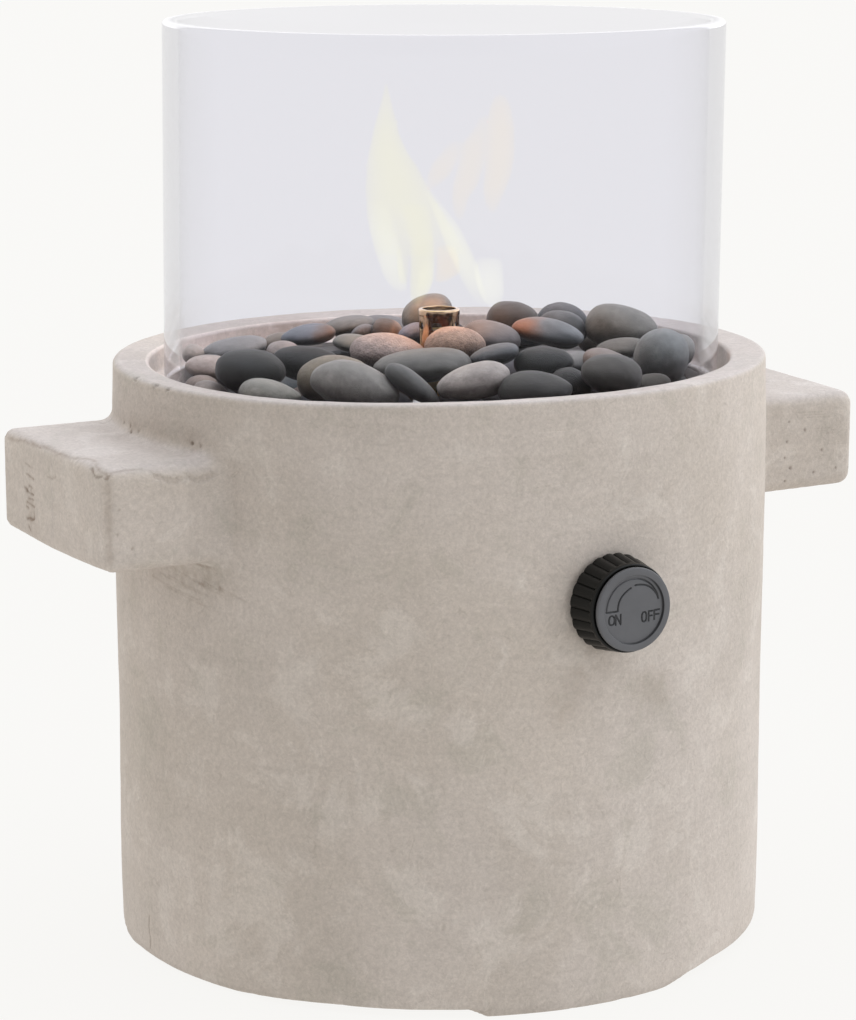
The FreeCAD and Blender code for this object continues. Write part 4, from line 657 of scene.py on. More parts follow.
PATCHES += [((-104.2, -8.0, 130.5), 5.0, 0.2, 0.26), ((-102.8, -19.0, 130.5), 5.5, 0.3, 0.34), ((-101.0, -27.0, 131.5), 5.5, 0.3, 0.36), ((-98.5, -35.0, 131.0), 5.0, 0.3, 0.34), ((-96.0, -41.5, 130.0), 5.0, 0.3, 0.22), ((-134.5, 16.5, 141.0), 4.5, 0.0, 0.34), ((-134.5, 17.5, 147.0), 4.5, 0.0, 0.30), ((-134.5, 17.5, 153.0), 3.5, 0.0, 0.16), ((-105.5, 5.9, 169.4), 4.0, 0.0, 0.34), ((-100.9, -29.1, 171.0), 4.0, 0.0, 0.34), ((-103.5, -10.0, 170.5), 6.0, 0.0, 0.16), ((-8.4, 92.6, 182.0), 10.0, 0.2, 0.42)]
MARKS += [([(-99.6, 32.8, 135.8), (-103.2, 17.8, 135.4), (-104.4, 7.0, 135.0), (-104.6, -1.2, 134.6), (-104.3, -8.1, 134.4), (-103.6, -14.1, 134.4), (-102.8, -19.6, 134.6), (-101.8, -24.6, 134.8), (-99.9, -31.3, 134.6), (-97.8, -37.4, 134.4)], 0.75, 0.12, 0.42, 0.95)]
MARKS += [([(x, -math.sqrt(104.6 ** 2 - x * x), z), (x + 4.5, -math.sqrt(104.6 ** 2 - (x + 4.5) ** 2), z - 3.2)], 0.35, 0.06, 0.22, 0.97) for x, z in ((-104.0, 127.9), (-103.3, 128.0), (-102.5, 130.3), (-101.1, 128.8), (-103.5, 124.3), (-99.5, 129.0), (-97.0, 128.0), (-104.4, 126.0))]


def settle(points):
    """Points moved onto the surface."""
    p = np.array(points, float)
    for _ in range(8):
        g = slope(p)
        d = body_distance(*p.T)
        p -= np.clip(d, -1.5, 1.5)[:, None] * g / np.maximum((g * g).sum(1), 0.2)[:, None]
    return p


def gap_to(p, line):
    """How far the rows of p are from a line of points."""
    best = np.full(len(p), 1e3)
    low, high = line.min(0) - 6, line.max(0) + 6
    pick = np.nonzero(((p > low) & (p < high)).all(1))[0]
    if len(pick) == 0:
        return best
    q = p[pick]
    found = np.full(len(pick), 1e3)
    for a, b in zip(line[:-1], line[1:]) if len(line) > 1 else ((line[0], line[0]),):
        ab = b - a
        t = np.clip(((q - a) @ ab) / max(ab @ ab, 1e-9), 0, 1)
        found = np.minimum(found, np.linalg.norm(q - a - t[:, None] * ab, axis=1))
    best[pick] = found
    return best


def build_body():
    verts, faces = body_mesh()
    ob = solid("body_stone", verts, faces, CONCRETE, None)
    me = ob.data
    lines = []
    for points, wide, depth, stain_by, shade_by in MARKS:
        at = settle(points)
        fine = [at[0]]
        for a, b in zip(at[:-1], at[1:]):
            k = max(1, int(np.linalg.norm(b - a) / 1.5))
            fine.extend(settle([a + (b - a) * (i + 1) / k for i in range(k)]))
        lines.append((np.array(fine), wide, depth, stain_by, shade_by))
    # fine faces where the casting is marked
    bm = bmesh.new()
    bm.from_mesh(me)
    for reach in (1.5, 0.75):
        bm.faces.ensure_lookup_table()
        centre = np.array([f.calc_center_median()[:] for f in bm.faces]) * 1000
        centre[:, 1] -= AXIS_Y
        want = np.zeros(len(centre), bool)
        for line, wide, depth, _s, _t in lines:
            if depth >= 0.12 or wide < 0.5:
                want |= gap_to(centre, line) < wide + reach
        chosen = set()
        for i in np.nonzero(want)[0]:
            chosen.update(bm.faces[i].edges)
        bmesh.ops.subdivide_edges(bm, edges=list(chosen), cuts=1, use_grid_fill=True)
    bm.to_mesh(me)
    bm.free()
    me.update()
    n = len(me.vertices)
    co = np.empty(n * 3)
    me.vertices.foreach_get("co", co)
    p = co.reshape(-1, 3) * 1000
    p[:, 1] -= AXIS_Y
    g = slope(p)
    g /= np.maximum(np.linalg.norm(g, axis=1), 0.3)[:, None]
    r = np.hypot(p[:, 0], p[:, 1])
    x, y, z = p.T
    out = smooth_step(91.5, 93.5, r)
    # the outer skin undulates, the inside stays as cast
    lift = 0.14 * noise(p / 42.0) + 0.07 * noise(p / 13.0 + 5) + 0.045 * noise(p / 5.0 + 9)
    lift *= out
    # small chips and bubbles along the edges
    sharp = np.clip(np.abs(noise(p / 2.6 + 31)) - 0.42, 0, 1) * 0.7
    edge = smooth_step(183.0, 186.5, z) * smooth_step(99.5, 102.5, r)
    lugs = smooth_step(106, 112, r)
    da = np.abs(np.abs(x) - 134.5) < 2.2
    db = np.abs(np.abs(y) - 41.2) < 2.2
    dc = (np.abs(z - 167.3) < 2.2) | (np.abs(z - 137.0) < 2.2)
    corner = ((da & db) | (da & dc) | (db & dc)) * lugs
    lift -= sharp * (edge * 0.4 + corner * 0.6) * out
    # the underside's edge is a little ragged
    lift -= 0.35 * np.clip(noise(p / 3.1 + 44) - 0.25, 0, 1) * smooth_step(5.0, 1.5, z) * out
    stain = np.zeros(n)
    shade = 1 + 0.025 * noise(p / 30.0 + 3) * out
    ragged = noise(p / 0.9 + 11)
    wander = noise(p / 2.4 + 6)
    for line, wide, depth, stain_by, shade_by in lines:
        d = gap_to(p, line)
        width = wide * (1.0 + 0.45 * ragged + 0.35 * wander)
        w = 1 - smooth_step(0.35, 1.15, d / np.maximum(width, 0.12))
        lift -= depth * w * np.clip(0.8 + 0.4 * ragged, 0.2, 1.2)
        halo = 1 - smooth_step(0.5, 2.2, d / np.maximum(width, 0.12))
        stain += stain_by * np.maximum(w, 0.35 * halo) * np.clip(0.85 + 0.5 * wander, 0.1, 1.2)
        shade *= 1 + (shade_by - 1) * w
    # painted light: the wall of the recess is made brighter all round and most at the back, and the rim top at the back
    # a little brighter
    behind = smooth_step(105.0, 150.0, np.abs(np.degrees(np.arctan2(x, -y))))
    shade *= 1 + (0.32 + 0.42 * behind) * ((r < 94.2) & (z > 177.0)) * smooth_step(187.3, 185.6, z)
    shade *= 1 + 0.17 * behind * (z > 184.0) * (r >= 94.2)
    # painted shade: the bottom of the recess under the pebbles is made much darker
    shade *= 1 - 0.88 * ((r < 87.6) & (z > 170.0)) * smooth_step(180.5, 178.2, z)
    # painted light and shade: broad parts of the outer wall and the front of the left lug are made lighter or darker by
    # height and by angle
    shade *= 1 + 0.045 * smooth_step(115.0, 160.0, z) * smooth_step(5.0, 40.0, x) * smooth_step(100.0, 90.0, x) * out * (r < 106)
    shade *= 1 - 0.045 * smooth_step(120.0, 176.0, z) * smooth_step(10.0, -25.0, x) * out * (r < 106)
    around = np.degrees(np.arctan2(x, -y))
    shade *= 1 + np.interp(around, (-84, -74, -62, -50), (0, -0.035, -0.035, 0)) * smooth_step(70, 110, z) * out
    shade *= 1 + np.interp(around, (-50, -36, -22, -8, 0, 8), (0, 0.01, 0.055, 0.06, 0.04, 0)) * smooth_step(40, 80, z) * out
    shade *= 1 + 0.06 * ((x < -108) & (y < -38.0)) * (z > 120)
    patch = np.zeros(n)
    for c, rad, dull, stain_by in PATCHES:
        d = np.linalg.norm(p - np.array(c, float), axis=1) / rad
        w = 1 - smooth_step(0.1, 1.7, d)
        patch += dull * w
        stain += stain_by * w * np.clip(0.6 + 0.8 * wander, 0, 1.3)
    # darker towards the bottom, where the feet meet the table
    shade *= 1 - 0.08 * smooth_step(4.0, 0.8, z) * out
    p = p + g * lift[:, None]
    p[:, 1] += AXIS_Y
    me.vertices.foreach_set("co", (p * 0.001).ravel())
    me.update()
    paint(ob, "stain", np.clip(stain, 0, 0.95))
    paint(ob, "shade", np.clip(shade, 0.06, 1.8))
    paint(ob, "patch", np.clip(patch, -1, 1))
    # painted light: upward faces of the outside and the wall of the recess are made paler and cooler, less so towards
    # the back
    well = (r < 94.5) & (z > 177.0) & (z < 187.5)
    paint(ob, "pale", np.maximum(smooth_step(0.35, 0.9, g[:, 2]) * out, 0.9 * well) * (1 - 0.8 * behind))
    # the plain inside needs fewer faces
    group = ob.vertex_groups.new(name="inside")
    p[:, 1] -= AXIS_Y
    r = np.hypot(p[:, 0], p[:, 1])
    inner = np.nonzero((r < 91.0) & (p[:, 2] < 170) & (p[:, 2] > 3.6))[0]
    group.add([int(i) for i in inner], 1.0, "REPLACE")
    m = ob.modifiers.new("thin", "DECIMATE")
    m.ratio = 0.36
    m.vertex_group = "inside"
    m.use_collapse_triangulate = False
    deps = bpy.context.evaluated_depsgraph_get()
    slim = bpy.data.meshes.new_from_object(ob.evaluated_get(deps))
    ob.modifiers.clear()
    ob.data = slim
    slim.name = "body_stone"
    slim.shade_smooth()
    ob.vertex_groups.clear()
    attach(ob, "base")
    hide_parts("concrete_body")
    tris = sum(len(q.vertices) - 2 for q in ob.data.polygons)
    print("body_stone triangles", tris)
    return ob


build_body()

# --------------------------------------------------------------------------
# glass cylinder
# --------------------------------------------------------------------------
outline = rounded([(83.6, 178.0, 1.0), (88.6, 178.0, 1.2), (88.6, 293.0, 1.2), (83.6, 293.0, 1.0)], 6)
tall = []
for a, b in zip(outline, outline[1:] + outline[:1]):
    tall.append(a)
    if abs(a[1] - b[1]) > 50:
        for t in np.linspace(0, 1, 14)[1:-1]:
            tall.append((a[0] + (b[0] - a[0]) * t, a[1] + (b[1] - a[1]) * t))
v, f = lathe(tall, 320)
wall = smooth_step(84.0, 86.0, np.hypot(v[:, 0], v[:, 1]))
# the cylinder stands a little off the axis and leans a little
lean = 1.1 + 0.0095 * (v[:, 2] - 247)
v[:, 0] += math.cos(math.radians(28.8)) * lean
v[:, 1] -= math.sin(math.radians(28.8)) * lean
glass = solid("glass_tube", v, f, GLASS, "glass")
paint(glass, "outer", wall)
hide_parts("glass_cylinder")

# --------------------------------------------------------------------------
# river pebbles: (name, colour group, centre, half sizes, quaternion x y z w)
# --------------------------------------------------------------------------
PEBBLES = [
    ("P1", "taupe", -68.53, 25.65, 183.68, 8.60, 7.00, 3.40, 0.0848, 0.0164, -0.2583, 0.9622),
    ("P2", "char", -67.13, 0.39, 186.17, 10.93, 11.00, 6.50, 0.0236, 0.0052, -0.2770, 0.9606),
    ("P3", "taupe", -74.68, 20.14, 178.94, 5.40, 6.00, 3.40, -0.0303, 0.0397, -0.2496, 0.9671),
    ("P5", "green", -70.89, -20.18, 181.86, 9.74, 10.00, 4.53, -0.0061, 0.0646, -0.1776, 0.9820),
    ("P6a", "brown", -66.02, 44.75, 185.08, 3.70, 8.00, 3.20, -0.0577, -0.0766, -0.2437, 0.9651),
    ("P6b", "blue", -51.38, 44.59, 185.47, 11.00, 10.00, 3.90, -0.0047, -0.0872, -0.2437, 0.9659),
    ("P7", "taupe", -41.20, 29.57, 186.06, 5.49, 8.00, 3.20, 0.0000, -0.0000, -0.2487, 0.9686),
    ("P8", "blue", -23.02, 46.96, 187.86, 9.24, 9.00, 3.60, -0.0173, -0.0676, -0.2481, 0.9662),
    ("P9", "char", -44.57, 6.31, 185.87, 11.07, 10.00, 5.44, 0.0130, 0.0507, -0.2483, 0.9673),
    ("P10", "brown", -47.19, -17.35, 184.31, 11.47, 10.00, 7.31, -0.0260, -0.1012, -0.2473, 0.9633),
    ("P11", "grey", -51.71, -41.29, 185.67, 13.63, 11.00, 7.72, -0.0030, 0.1001, -0.2480, 0.9636),
    ("P12", "grey", -4.68, 53.81, 188.79, 9.02, 9.00, 3.20, -0.0327, -0.0791, -0.2430, 0.9662),
    ("P13", "grey", 10.74, 58.72, 187.07, 8.77, 9.00, 3.20, 0.0308, -0.0085, -0.2398, 0.9703),
    ("P14", "brown", 0.07, 35.57, 188.57, 5.40, 7.00, 4.20, 0.0701, 0.1526, -0.2569, 0.9517),
    ("P14b", "grey", -5.45, 41.36, 187.40, 4.31, 7.00, 3.20, -0.2114, -0.1829, -0.3519, 0.8933),
    ("P15", "taupe", -16.37, 25.04, 187.01, 8.40, 8.00, 3.20, 0.0217, 0.0844, -0.2477, 0.9649),
    ("P16", "red", -19.01, -0.67, 188.00, 11.80, 12.00, 6.38, 0.0022, 0.0281, -0.1974, 0.9799),
    ("P17", "taupe", 7.35, 21.35, 195.35, 8.50, 9.00, 6.76, -0.0279, -0.0806, -0.2447, 0.9658),
    ("P18", "grey", -2.45, 13.32, 190.81, 4.87, 7.00, 3.71, -0.1077, -0.1354, -0.2006, 0.9643),
    ("P19", "grey", -20.71, -27.16, 187.89, 15.57, 12.00, 5.17, -0.0096, -0.0212, -0.2569, 0.9662),
    ("P20", "char", -37.17, -50.37, 186.43, 9.80, 6.00, 3.60, 0.0748, 0.2913, -0.2372, 0.9238),
    ("P21", "taupe", -18.20, -54.85, 186.25, 11.24, 12.00, 6.03, -0.0528, -0.0813, -0.2674, 0.9587),
    ("P22", "red", -3.00, -16.00, 191.36, 9.79, 9.00, 6.18, -0.0163, -0.0115, -0.2519, 0.9676),
    ("P23", "blue", 1.49, -32.43, 190.01, 8.20, 9.00, 3.50, -0.0892, -0.0979, -0.2443, 0.9606),
    ("P24", "grey", 16.43, -4.68, 190.78, 9.66, 11.00, 5.47, 0.0098, 0.0572, -0.2429, 0.9683),
    ("P25", "brown", 37.64, 18.18, 192.27, 8.60, 9.00, 6.14, -0.0005, -0.0005, -0.2495, 0.9684),
    ("P26", "taupe", 36.79, -6.11, 191.23, 12.00, 9.00, 4.61, 0.0188, 0.0897, -0.2479, 0.9644),
    ("P27a", "char", 57.83, 18.93, 189.07, 9.01, 8.00, 7.32, 0.0422, 0.1686, -0.2447, 0.9539),
    ("P27b", "char", 49.26, 6.59, 189.25, 8.24, 7.00, 6.58, 0.0201, 0.0847, -0.2480, 0.9649),
    ("P28", "green", 67.44, -2.76, 189.88, 12.20, 13.00, 7.63, 0.0155, 0.0657, -0.2482, 0.9664),
    ("P29", "taupe", 55.49, -21.31, 186.65, 8.73, 8.00, 3.20, -0.0130, -0.0507, -0.2483, 0.9673),
    ("P30", "blue", 52.34, -50.01, 188.02, 8.68, 11.00, 9.40, 0.0702, 0.1710, -0.2413, 0.9527),
    ("P31", "grey", 72.66, -29.04, 186.03, 4.90, 8.00, 5.00, 0.0231, 0.0881, -0.1843, 0.9787),
    ("P32", "char", 21.91, -69.33, 187.53, 9.50, 11.00, 6.17, 0.0490, 0.0961, -0.2719, 0.9563),
    ("P33", "taupe", 37.01, -43.64, 186.46, 8.53, 9.00, 3.76, 0.0517, 0.1389, -0.2478, 0.9574),
    ("P34", "char", 15.13, -39.69, 187.51, 9.38, 10.00, 5.37, -0.0129, -0.0371, -0.2478, 0.9680),
    ("P35", "grey", 33.35, -30.03, 185.05, 6.67, 8.00, 3.53, 0.0456, 0.0271, -0.2524, 0.9662),
    ("P36", "char", -6.22, -70.55, 184.85, 11.49, 12.00, 6.00, -0.0284, -0.0297, -0.2693, 0.9622),
    ("P37", "green", 14.46, -57.47, 182.98, 6.76, 9.00, 5.34, 0.0837, 0.1217, -0.2746, 0.9501),
    ("F0", "char", 18.44, -9.94, 170.42, 10.30, 7.06, 4.41, 0.0081, 0.0300, 0.9533, 0.3005),
    ("F1", "grey", 16.69, 13.03, 170.73, 11.35, 8.24, 4.72, 0.0028, 0.0195, 0.5571, 0.8302),
    ("F2", "taupe", -8.98, 17.87, 171.14, 8.91, 8.58, 5.14, 0.0000, -0.0000, 0.5257, 0.8507),
    ("F3", "blue", -19.69, -3.51, 170.98, 11.44, 7.41, 4.98, 0.0000, 0.0000, 0.4867, 0.8735),
    ("F4", "char", -4.21, -19.55, 171.41, 9.21, 8.60, 5.41, -0.0000, 0.0000, -0.0491, 0.9988),
    ("F5", "grey", 38.09, -9.59, 170.88, 8.75, 8.79, 4.80, 0.0578, 0.0055, -0.0110, 0.9982),
    ("F6", "taupe", 37.12, 14.91, 170.25, 11.20, 7.43, 4.25, -0.0000, 0.0000, 0.0640, 0.9980),
    ("F7", "blue", 24.84, 31.35, 170.67, 11.22, 8.39, 4.67, -0.0000, 0.0000, -0.2229, 0.9748),
    ("F8", "char", 5.13, 39.67, 170.28, 9.88, 8.38, 4.28, 0.0000, -0.0000, -0.1966, 0.9805),
    ("F9", "grey", -20.99, 34.05, 170.32, 9.43, 7.63, 4.32, -0.0000, -0.0000, 0.0199, 0.9998),
    ("F10", "taupe", -33.49, 21.88, 171.23, 9.90, 7.25, 5.23, -0.0000, -0.0000, 0.0560, 0.9984),
    ("F11", "blue", -39.96, 0.06, 173.13, 11.19, 7.05, 5.33, 0.0007, 0.0044, 0.0520, 0.9986),
    ("F12", "char", -33.58, -21.74, 170.89, 9.38, 8.45, 4.89, 0.0000, 0.0000, 0.8859, 0.4639),
    ("F13", "grey", -15.41, -34.50, 171.57, 9.27, 8.96, 5.52, -0.0415, 0.0283, 0.2353, 0.9706),
    ("F14", "taupe", 7.99, -39.19, 170.29, 10.74, 7.08, 4.29, 0.0000, 0.0000, 0.3740, 0.9274),
    ("F15", "blue", 26.19, -27.54, 171.13, 10.73, 8.09, 5.13, -0.0160, -0.0116, 0.5988, 0.8006),
    ("F16", "char", 52.93, -26.07, 170.40, 8.95, 8.25, 4.40, -0.0000, -0.0000, 0.4302, 0.9027),
    ("F17", "grey", 57.02, -5.39, 170.71, 10.78, 7.07, 4.70, -0.0164, 0.0123, 0.0209, 0.9996),
    ("F18", "taupe", 56.07, 18.35, 170.29, 9.23, 7.71, 4.29, -0.0000, -0.0000, 0.8983, 0.4394),
    ("F19", "blue", 47.52, 33.87, 171.07, 9.99, 7.16, 5.06, 0.0342, 0.0032, 0.1323, 0.9906),
    ("F20", "char", 35.72, 46.14, 170.66, 10.17, 8.27, 4.65, -0.0178, -0.0106, 0.6770, 0.7357),
    ("F21", "grey", 15.51, 57.24, 171.50, 9.45, 7.79, 5.48, 0.0010, 0.0332, -0.0545, 0.9980),
    ("F22", "taupe", -5.09, 58.54, 171.20, 11.39, 8.81, 5.18, 0.0138, -0.0233, -0.1441, 0.9892),
    ("F23", "blue", -31.48, 49.90, 170.27, 8.93, 7.93, 4.27, -0.0000, -0.0000, 0.8459, 0.5333),
    ("F24", "char", -46.08, 36.53, 171.34, 10.78, 7.53, 5.31, -0.0389, 0.0186, 0.0868, 0.9953),
    ("F25", "grey", -55.07, 20.38, 171.08, 9.99, 7.57, 5.05, 0.0065, -0.0365, 0.6712, 0.7403),
    ("F26", "taupe", -59.10, -0.62, 170.61, 9.57, 8.47, 4.61, -0.0035, -0.0026, 0.8428, 0.5383),
    ("F27", "blue", -54.23, -22.93, 170.57, 10.52, 8.04, 4.56, -0.0111, 0.0168, 0.9689, 0.2468),
    ("F28", "char", -43.72, -39.90, 170.43, 10.15, 7.06, 4.42, 0.0174, -0.0031, 0.8214, 0.5701),
    ("F29", "grey", -21.56, -53.16, 170.63, 11.21, 8.51, 4.62, 0.0090, -0.0084, 0.7433, 0.6688),
    ("F30", "taupe", -3.95, -58.32, 171.43, 9.65, 7.31, 5.43, -0.0005, 0.0105, 0.7541, 0.6567),
    ("F31", "blue", 21.20, -54.92, 170.99, 10.85, 7.90, 4.99, -0.0079, -0.0027, -0.1363, 0.9906),
    ("F32", "char", 36.63, -44.31, 170.91, 10.62, 8.61, 4.89, 0.0130, -0.0169, 0.9288, 0.3699),
    ("F33", "grey", 74.40, -15.21, 181.98, 7.16, 6.38, 3.90, -0.0691, 0.0141, 0.6402, 0.7650),
    ("F34", "taupe", 71.74, 18.15, 181.96, 7.14, 6.12, 3.96, 0.0001, -0.0000, 0.7891, 0.6143),
    ("F35", "blue", 59.00, 44.66, 181.71, 7.64, 6.35, 3.71, 0.0114, -0.0058, 0.8937, 0.4486),
    ("F36", "char", 36.78, 64.22, 182.02, 7.93, 5.91, 4.02, -0.0001, 0.0000, 0.9664, 0.2571),
    ("F37", "grey", 8.76, 73.48, 182.01, 7.75, 5.63, 4.01, -0.0000, 0.0000, 0.9982, 0.0593),
    ("F38", "taupe", -20.65, 71.06, 181.61, 8.29, 5.67, 3.61, 0.0000, -0.0000, 0.9900, -0.1409),
    ("F39", "blue", -45.31, 58.27, 182.40, 7.10, 5.96, 4.38, 0.0337, 0.0031, 0.9480, -0.3164),
    ("F40", "char", -65.31, 34.30, 182.12, 7.07, 6.49, 4.03, -0.0603, -0.0442, 0.8669, -0.4929),
    ("F41", "grey", -77.10, 8.02, 178.30, 6.20, 5.92, 3.77, -0.0769, 0.2137, -0.7906, 0.5687),
    ("F42", "taupe", 36.23, -67.67, 182.16, 8.07, 6.04, 3.83, -0.0381, -0.1170, 0.1909, 0.9739),
]
# mean colour of a group, linear
GROUP = {
    "taupe": (0.150, 0.122, 0.106),
    "char": (0.040, 0.041, 0.043),
    "green": (0.100, 0.100, 0.088),
    "brown": (0.130, 0.082, 0.064),
    "blue": (0.070, 0.075, 0.088),
    "grey": (0.098, 0.092, 0.092),
    "red": (0.260, 0.160, 0.125),
}
NODE = {
    "taupe": "taupe",
    "char": "charcoal",
    "green": "olive",
    "brown": "brown",
    "blue": "slate",
    "grey": "grey",
    "red": "red",
}
# stones that differ from their group's colour, and a second colour at one end
OWN = {
    "P1": ((0.365, 0.3, 0.265), None, 0, 0),
    "P2": ((0.024, 0.025, 0.0235), None, 0, 0),
    "P3": ((0.26, 0.21, 0.18), None, 0, 0),
    "P5": ((0.2227, 0.2166, 0.1856), None, 0, 0),
    "P6a": ((0.32, 0.27, 0.235), None, 0, 0),
    "P6b": ((0.2, 0.1943, 0.193), None, 0, 0),
    "P7": ((0.2344, 0.1987, 0.1837), None, 0, 0),
    "P8": ((0.1412, 0.1545, 0.1836), (0.1503, 0.0856, 0.0563), 0.45, 0),
    "P9": ((0.0135, 0.014, 0.0138), None, 0, 0),
    "P10": ((0.1801, 0.1519, 0.1107), None, 0, 0.25),
    "P11": ((0.2083, 0.1987, 0.1777), None, 0, 0),
    "P12": ((0.1761, 0.1642, 0.1513), None, 0, 0),
    "P13": ((0.17, 0.158, 0.155), None, 0, 0),
    "P14": ((0.0992, 0.0605, 0.0408), (0.4, 0.22, 0.135), 0.35, 0),
    "P14b": ((0.1671, 0.1539, 0.1563), None, 0, 0),
    "P15": ((0.1603, 0.1598, 0.1418), None, 0, 0),
    "P16": ((0.34, 0.2677, 0.2392), None, 0, 0.35),
    "P17": ((0.165, 0.163, 0.152), None, 0, 0),
    "P18": ((0.1, 0.115, 0.165), None, 0, 0),
    "P19": ((0.1251, 0.1229, 0.1123), None, 0, 0),
    "P20": ((0.085, 0.085, 0.08), None, 0, 0),
    "P21": ((0.33, 0.295, 0.265), None, 0, 0),
    "P22": ((0.403, 0.2659, 0.1969), None, 0, 0.35),
    "P23": ((0.09, 0.094, 0.1), None, 0, 0),
    "P24": ((0.1395, 0.1245, 0.1227), None, 0, 0),
    "P25": ((0.0804, 0.0664, 0.0586), None, 0, 0),
    "P26": ((0.145, 0.153, 0.16), (0.24, 0.115, 0.07), -0.45, 0.0),
    "P27a": ((0.1, 0.0995, 0.1036), None, 0, 0),
    "P27b": ((0.1108, 0.1131, 0.115), None, 0, 0),
    "P28": ((0.1558, 0.1492, 0.133), None, 0, 0),
    "P29": ((0.117, 0.108, 0.093), None, 0, 0),
    "P30": ((0.164, 0.1735, 0.172), None, 0, 0),
    "P31": ((0.19, 0.19, 0.18), None, 0, 0),
    "P32": ((0.051, 0.048, 0.042), None, 0, 0),
    "P34": ((0.0154, 0.0165, 0.0155), None, 0, 0),
    "P35": ((0.1534, 0.156, 0.1536), None, 0, 0),
    "P36": ((0.029, 0.0285, 0.025), None, 0, 0),
    "P37": ((0.0065, 0.0065, 0.006), None, 0, 0),
    "F26": ((0.27, 0.245, 0.24), None, 0, 0),
    "F41": ((0.29, 0.25, 0.22), None, 0, 0),
    "F42": ((0.05, 0.046, 0.036), None, 0, 0),
}


# how much lower (-) or higher (+) a stone is at its right end
FALL = {"P5": -0.3, "P11": -0.38, "P20": -0.1, "P9": 0.15, "P34": -0.25, "P22": -0.15, "P19": 0.12, "P28": -0.1, "P36": -0.2}


def ball(level):
    bm = bmesh.new()
    bmesh.ops.create_icosphere(bm, subdivisions=level, radius=1.0)
    v = np.array([q.co[:] for q in bm.verts])
    f = np.array([[q.index for q in face.verts] for face in bm.faces])
    bm.free()
    return v / np.linalg.norm(v, axis=1)[:, None], f


def turn(q, v):
    x, y, z, w = q
    u = np.array((x, y, z))
    t = 2 * np.cross(u, v)
    return v + w * t + np.cross(u, t)


def build_pebbles():
    fine, coarse = ball(5), ball(3)
    for kind in GROUP:
        verts, faces, tones, dust_and_sheen_rows, at = [], [], [], [], 0
        for i, row in enumerate(PEBBLES):
            name, group, x, y, z, a, b, c, qx, qy, qz, qw = row
            if group != kind:
                continue
            n, f = fine if name.startswith("P") else coarse
            # this stone's own shape and colour, from its place in the list
            own = np.random.default_rng(1000 + i)
            power = own.uniform(2.0, 2.28)
            r = (np.abs(n) ** power).sum(1) ** (-1 / power)
            r *= 1 + 0.075 * noise(n * 0.8 + 10 * i + 0.3) + 0.022 * noise(n * 2.1 + 7 * i)
            taper = own.uniform(-0.16, 0.16, 2)
            shape = n * r[:, None]
            shape[:, 1] *= 1 + taper[0] * shape[:, 0]
            shape[:, 2] *= 1 + taper[1] * shape[:, 0]
            shape[:, 2] = np.where(shape[:, 2] < 0, shape[:, 2] * own.uniform(0.86, 1.0), shape[:, 2])
            fall = FALL.get(name, 0.0) * (1.0 if turn((qx, qy, qz, qw), np.array((1.0, 0, 0))) @ np.array((0.876, -0.482, 0)) > 0 else -1.0)
            shape[:, 2] *= 1 + fall * shape[:, 0] * (shape[:, 2] > 0)
            size = np.array((a, b, c)) * 0.995
            local = shape * size
            # fine pits and wear of the skin
            local *= (1 + 0.006 * noise(local * 0.9 + 3 * i) + 0.003 * noise(local * 2.2 + i))[:, None]
            p = turn((qx, qy, qz, qw), local) + (x, y, z)
            base = np.array(GROUP[kind])
            tint, end, split, grain = OWN.get(name, (None, None, 0.0, 0.0))
            across = 1.0 if turn((qx, qy, qz, qw), np.array((1.0, 0, 0))) @ np.array((0.876, -0.482, 0)) > 0 else -1.0
            if tint is None:
                tint = base * own.uniform(0.75, 1.3)
                tint = tint * (1 + own.uniform(-0.05, 0.05, 3))
            colour = np.tile(np.array(tint, float), (len(p), 1))
            cloud = noise(local / 5.0 + 13 * i)
            if end is not None:
                side = across if split > 0 else -across
                share = smooth_step(abs(split) - 0.35, abs(split) + 0.35, side * shape[:, 0] + 0.25 * cloud)[:, None]
                colour = colour * (1 - share) + np.array(end, float) * share
            colour = colour * (1 + 0.18 * cloud + 0.09 * noise(local / 1.7 + i))[:, None]
            if grain:
                speck = noise(local / 0.55 + i)
                colour = colour * (1 + grain * speck)[:, None]
                p = p + n * (0.10 * grain * speck)[:, None]
            verts.append(p)
            faces.append(f + at)
            at += len(p)
            tones.append(np.clip(colour, 0.005, 0.9))
            up = turn((qx, qy, qz, qw), n / size)
            up /= np.linalg.norm(up, axis=1)[:, None]
            # painted shade and highlight: darker towards the underside and lighter on top, partly dusty on top where
            # the stone is not nearly black
            tones[-1] = tones[-1] * (0.42 + 0.68 * smooth_step(-0.45, 0.8, up[:, 2] + 0.15 * cloud))[:, None]
            dust_and_sheen_amount = min(1.0, float(np.mean(tint)) / 0.09)
            dust_and_sheen_rows.append(np.clip(0.03 + (0.06 + 0.34 * dust_and_sheen_amount) * np.clip(up[:, 2], 0, 1) ** 3 + 0.08 * dust_and_sheen_amount * noise(p / 3.0), 0, 0.55))
        ob = solid("pebbles_" + NODE[kind] + "_v", np.concatenate(verts), np.concatenate(faces), pebble_material("pebble_" + NODE[kind], {"red": 1.0, "char": -0.3}.get(kind, 0.0)), "base")
        paint_colour(ob, "tone", np.concatenate(tones))
        paint(ob, "dust_and_sheen", np.concatenate(dust_and_sheen_rows))
        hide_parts("pebbles_" + NODE[kind])


build_pebbles()


def weld(ob):
    bm = bmesh.new()
    bm.from_mesh(ob.data)
    bmesh.ops.remove_doubles(bm, verts=bm.verts, dist=2e-6)
    bmesh.ops.dissolve_degenerate(bm, edges=bm.edges, dist=1e-7)
    bmesh.ops.recalc_face_normals(bm, faces=bm.faces)
    bm.to_mesh(ob.data)
    bm.free()
    ob.data.update()


# --------------------------------------------------------------------------
# burner head: a thin cup with round ports under a rolled shoulder
# --------------------------------------------------------------------------
PORT_Z = 195.6


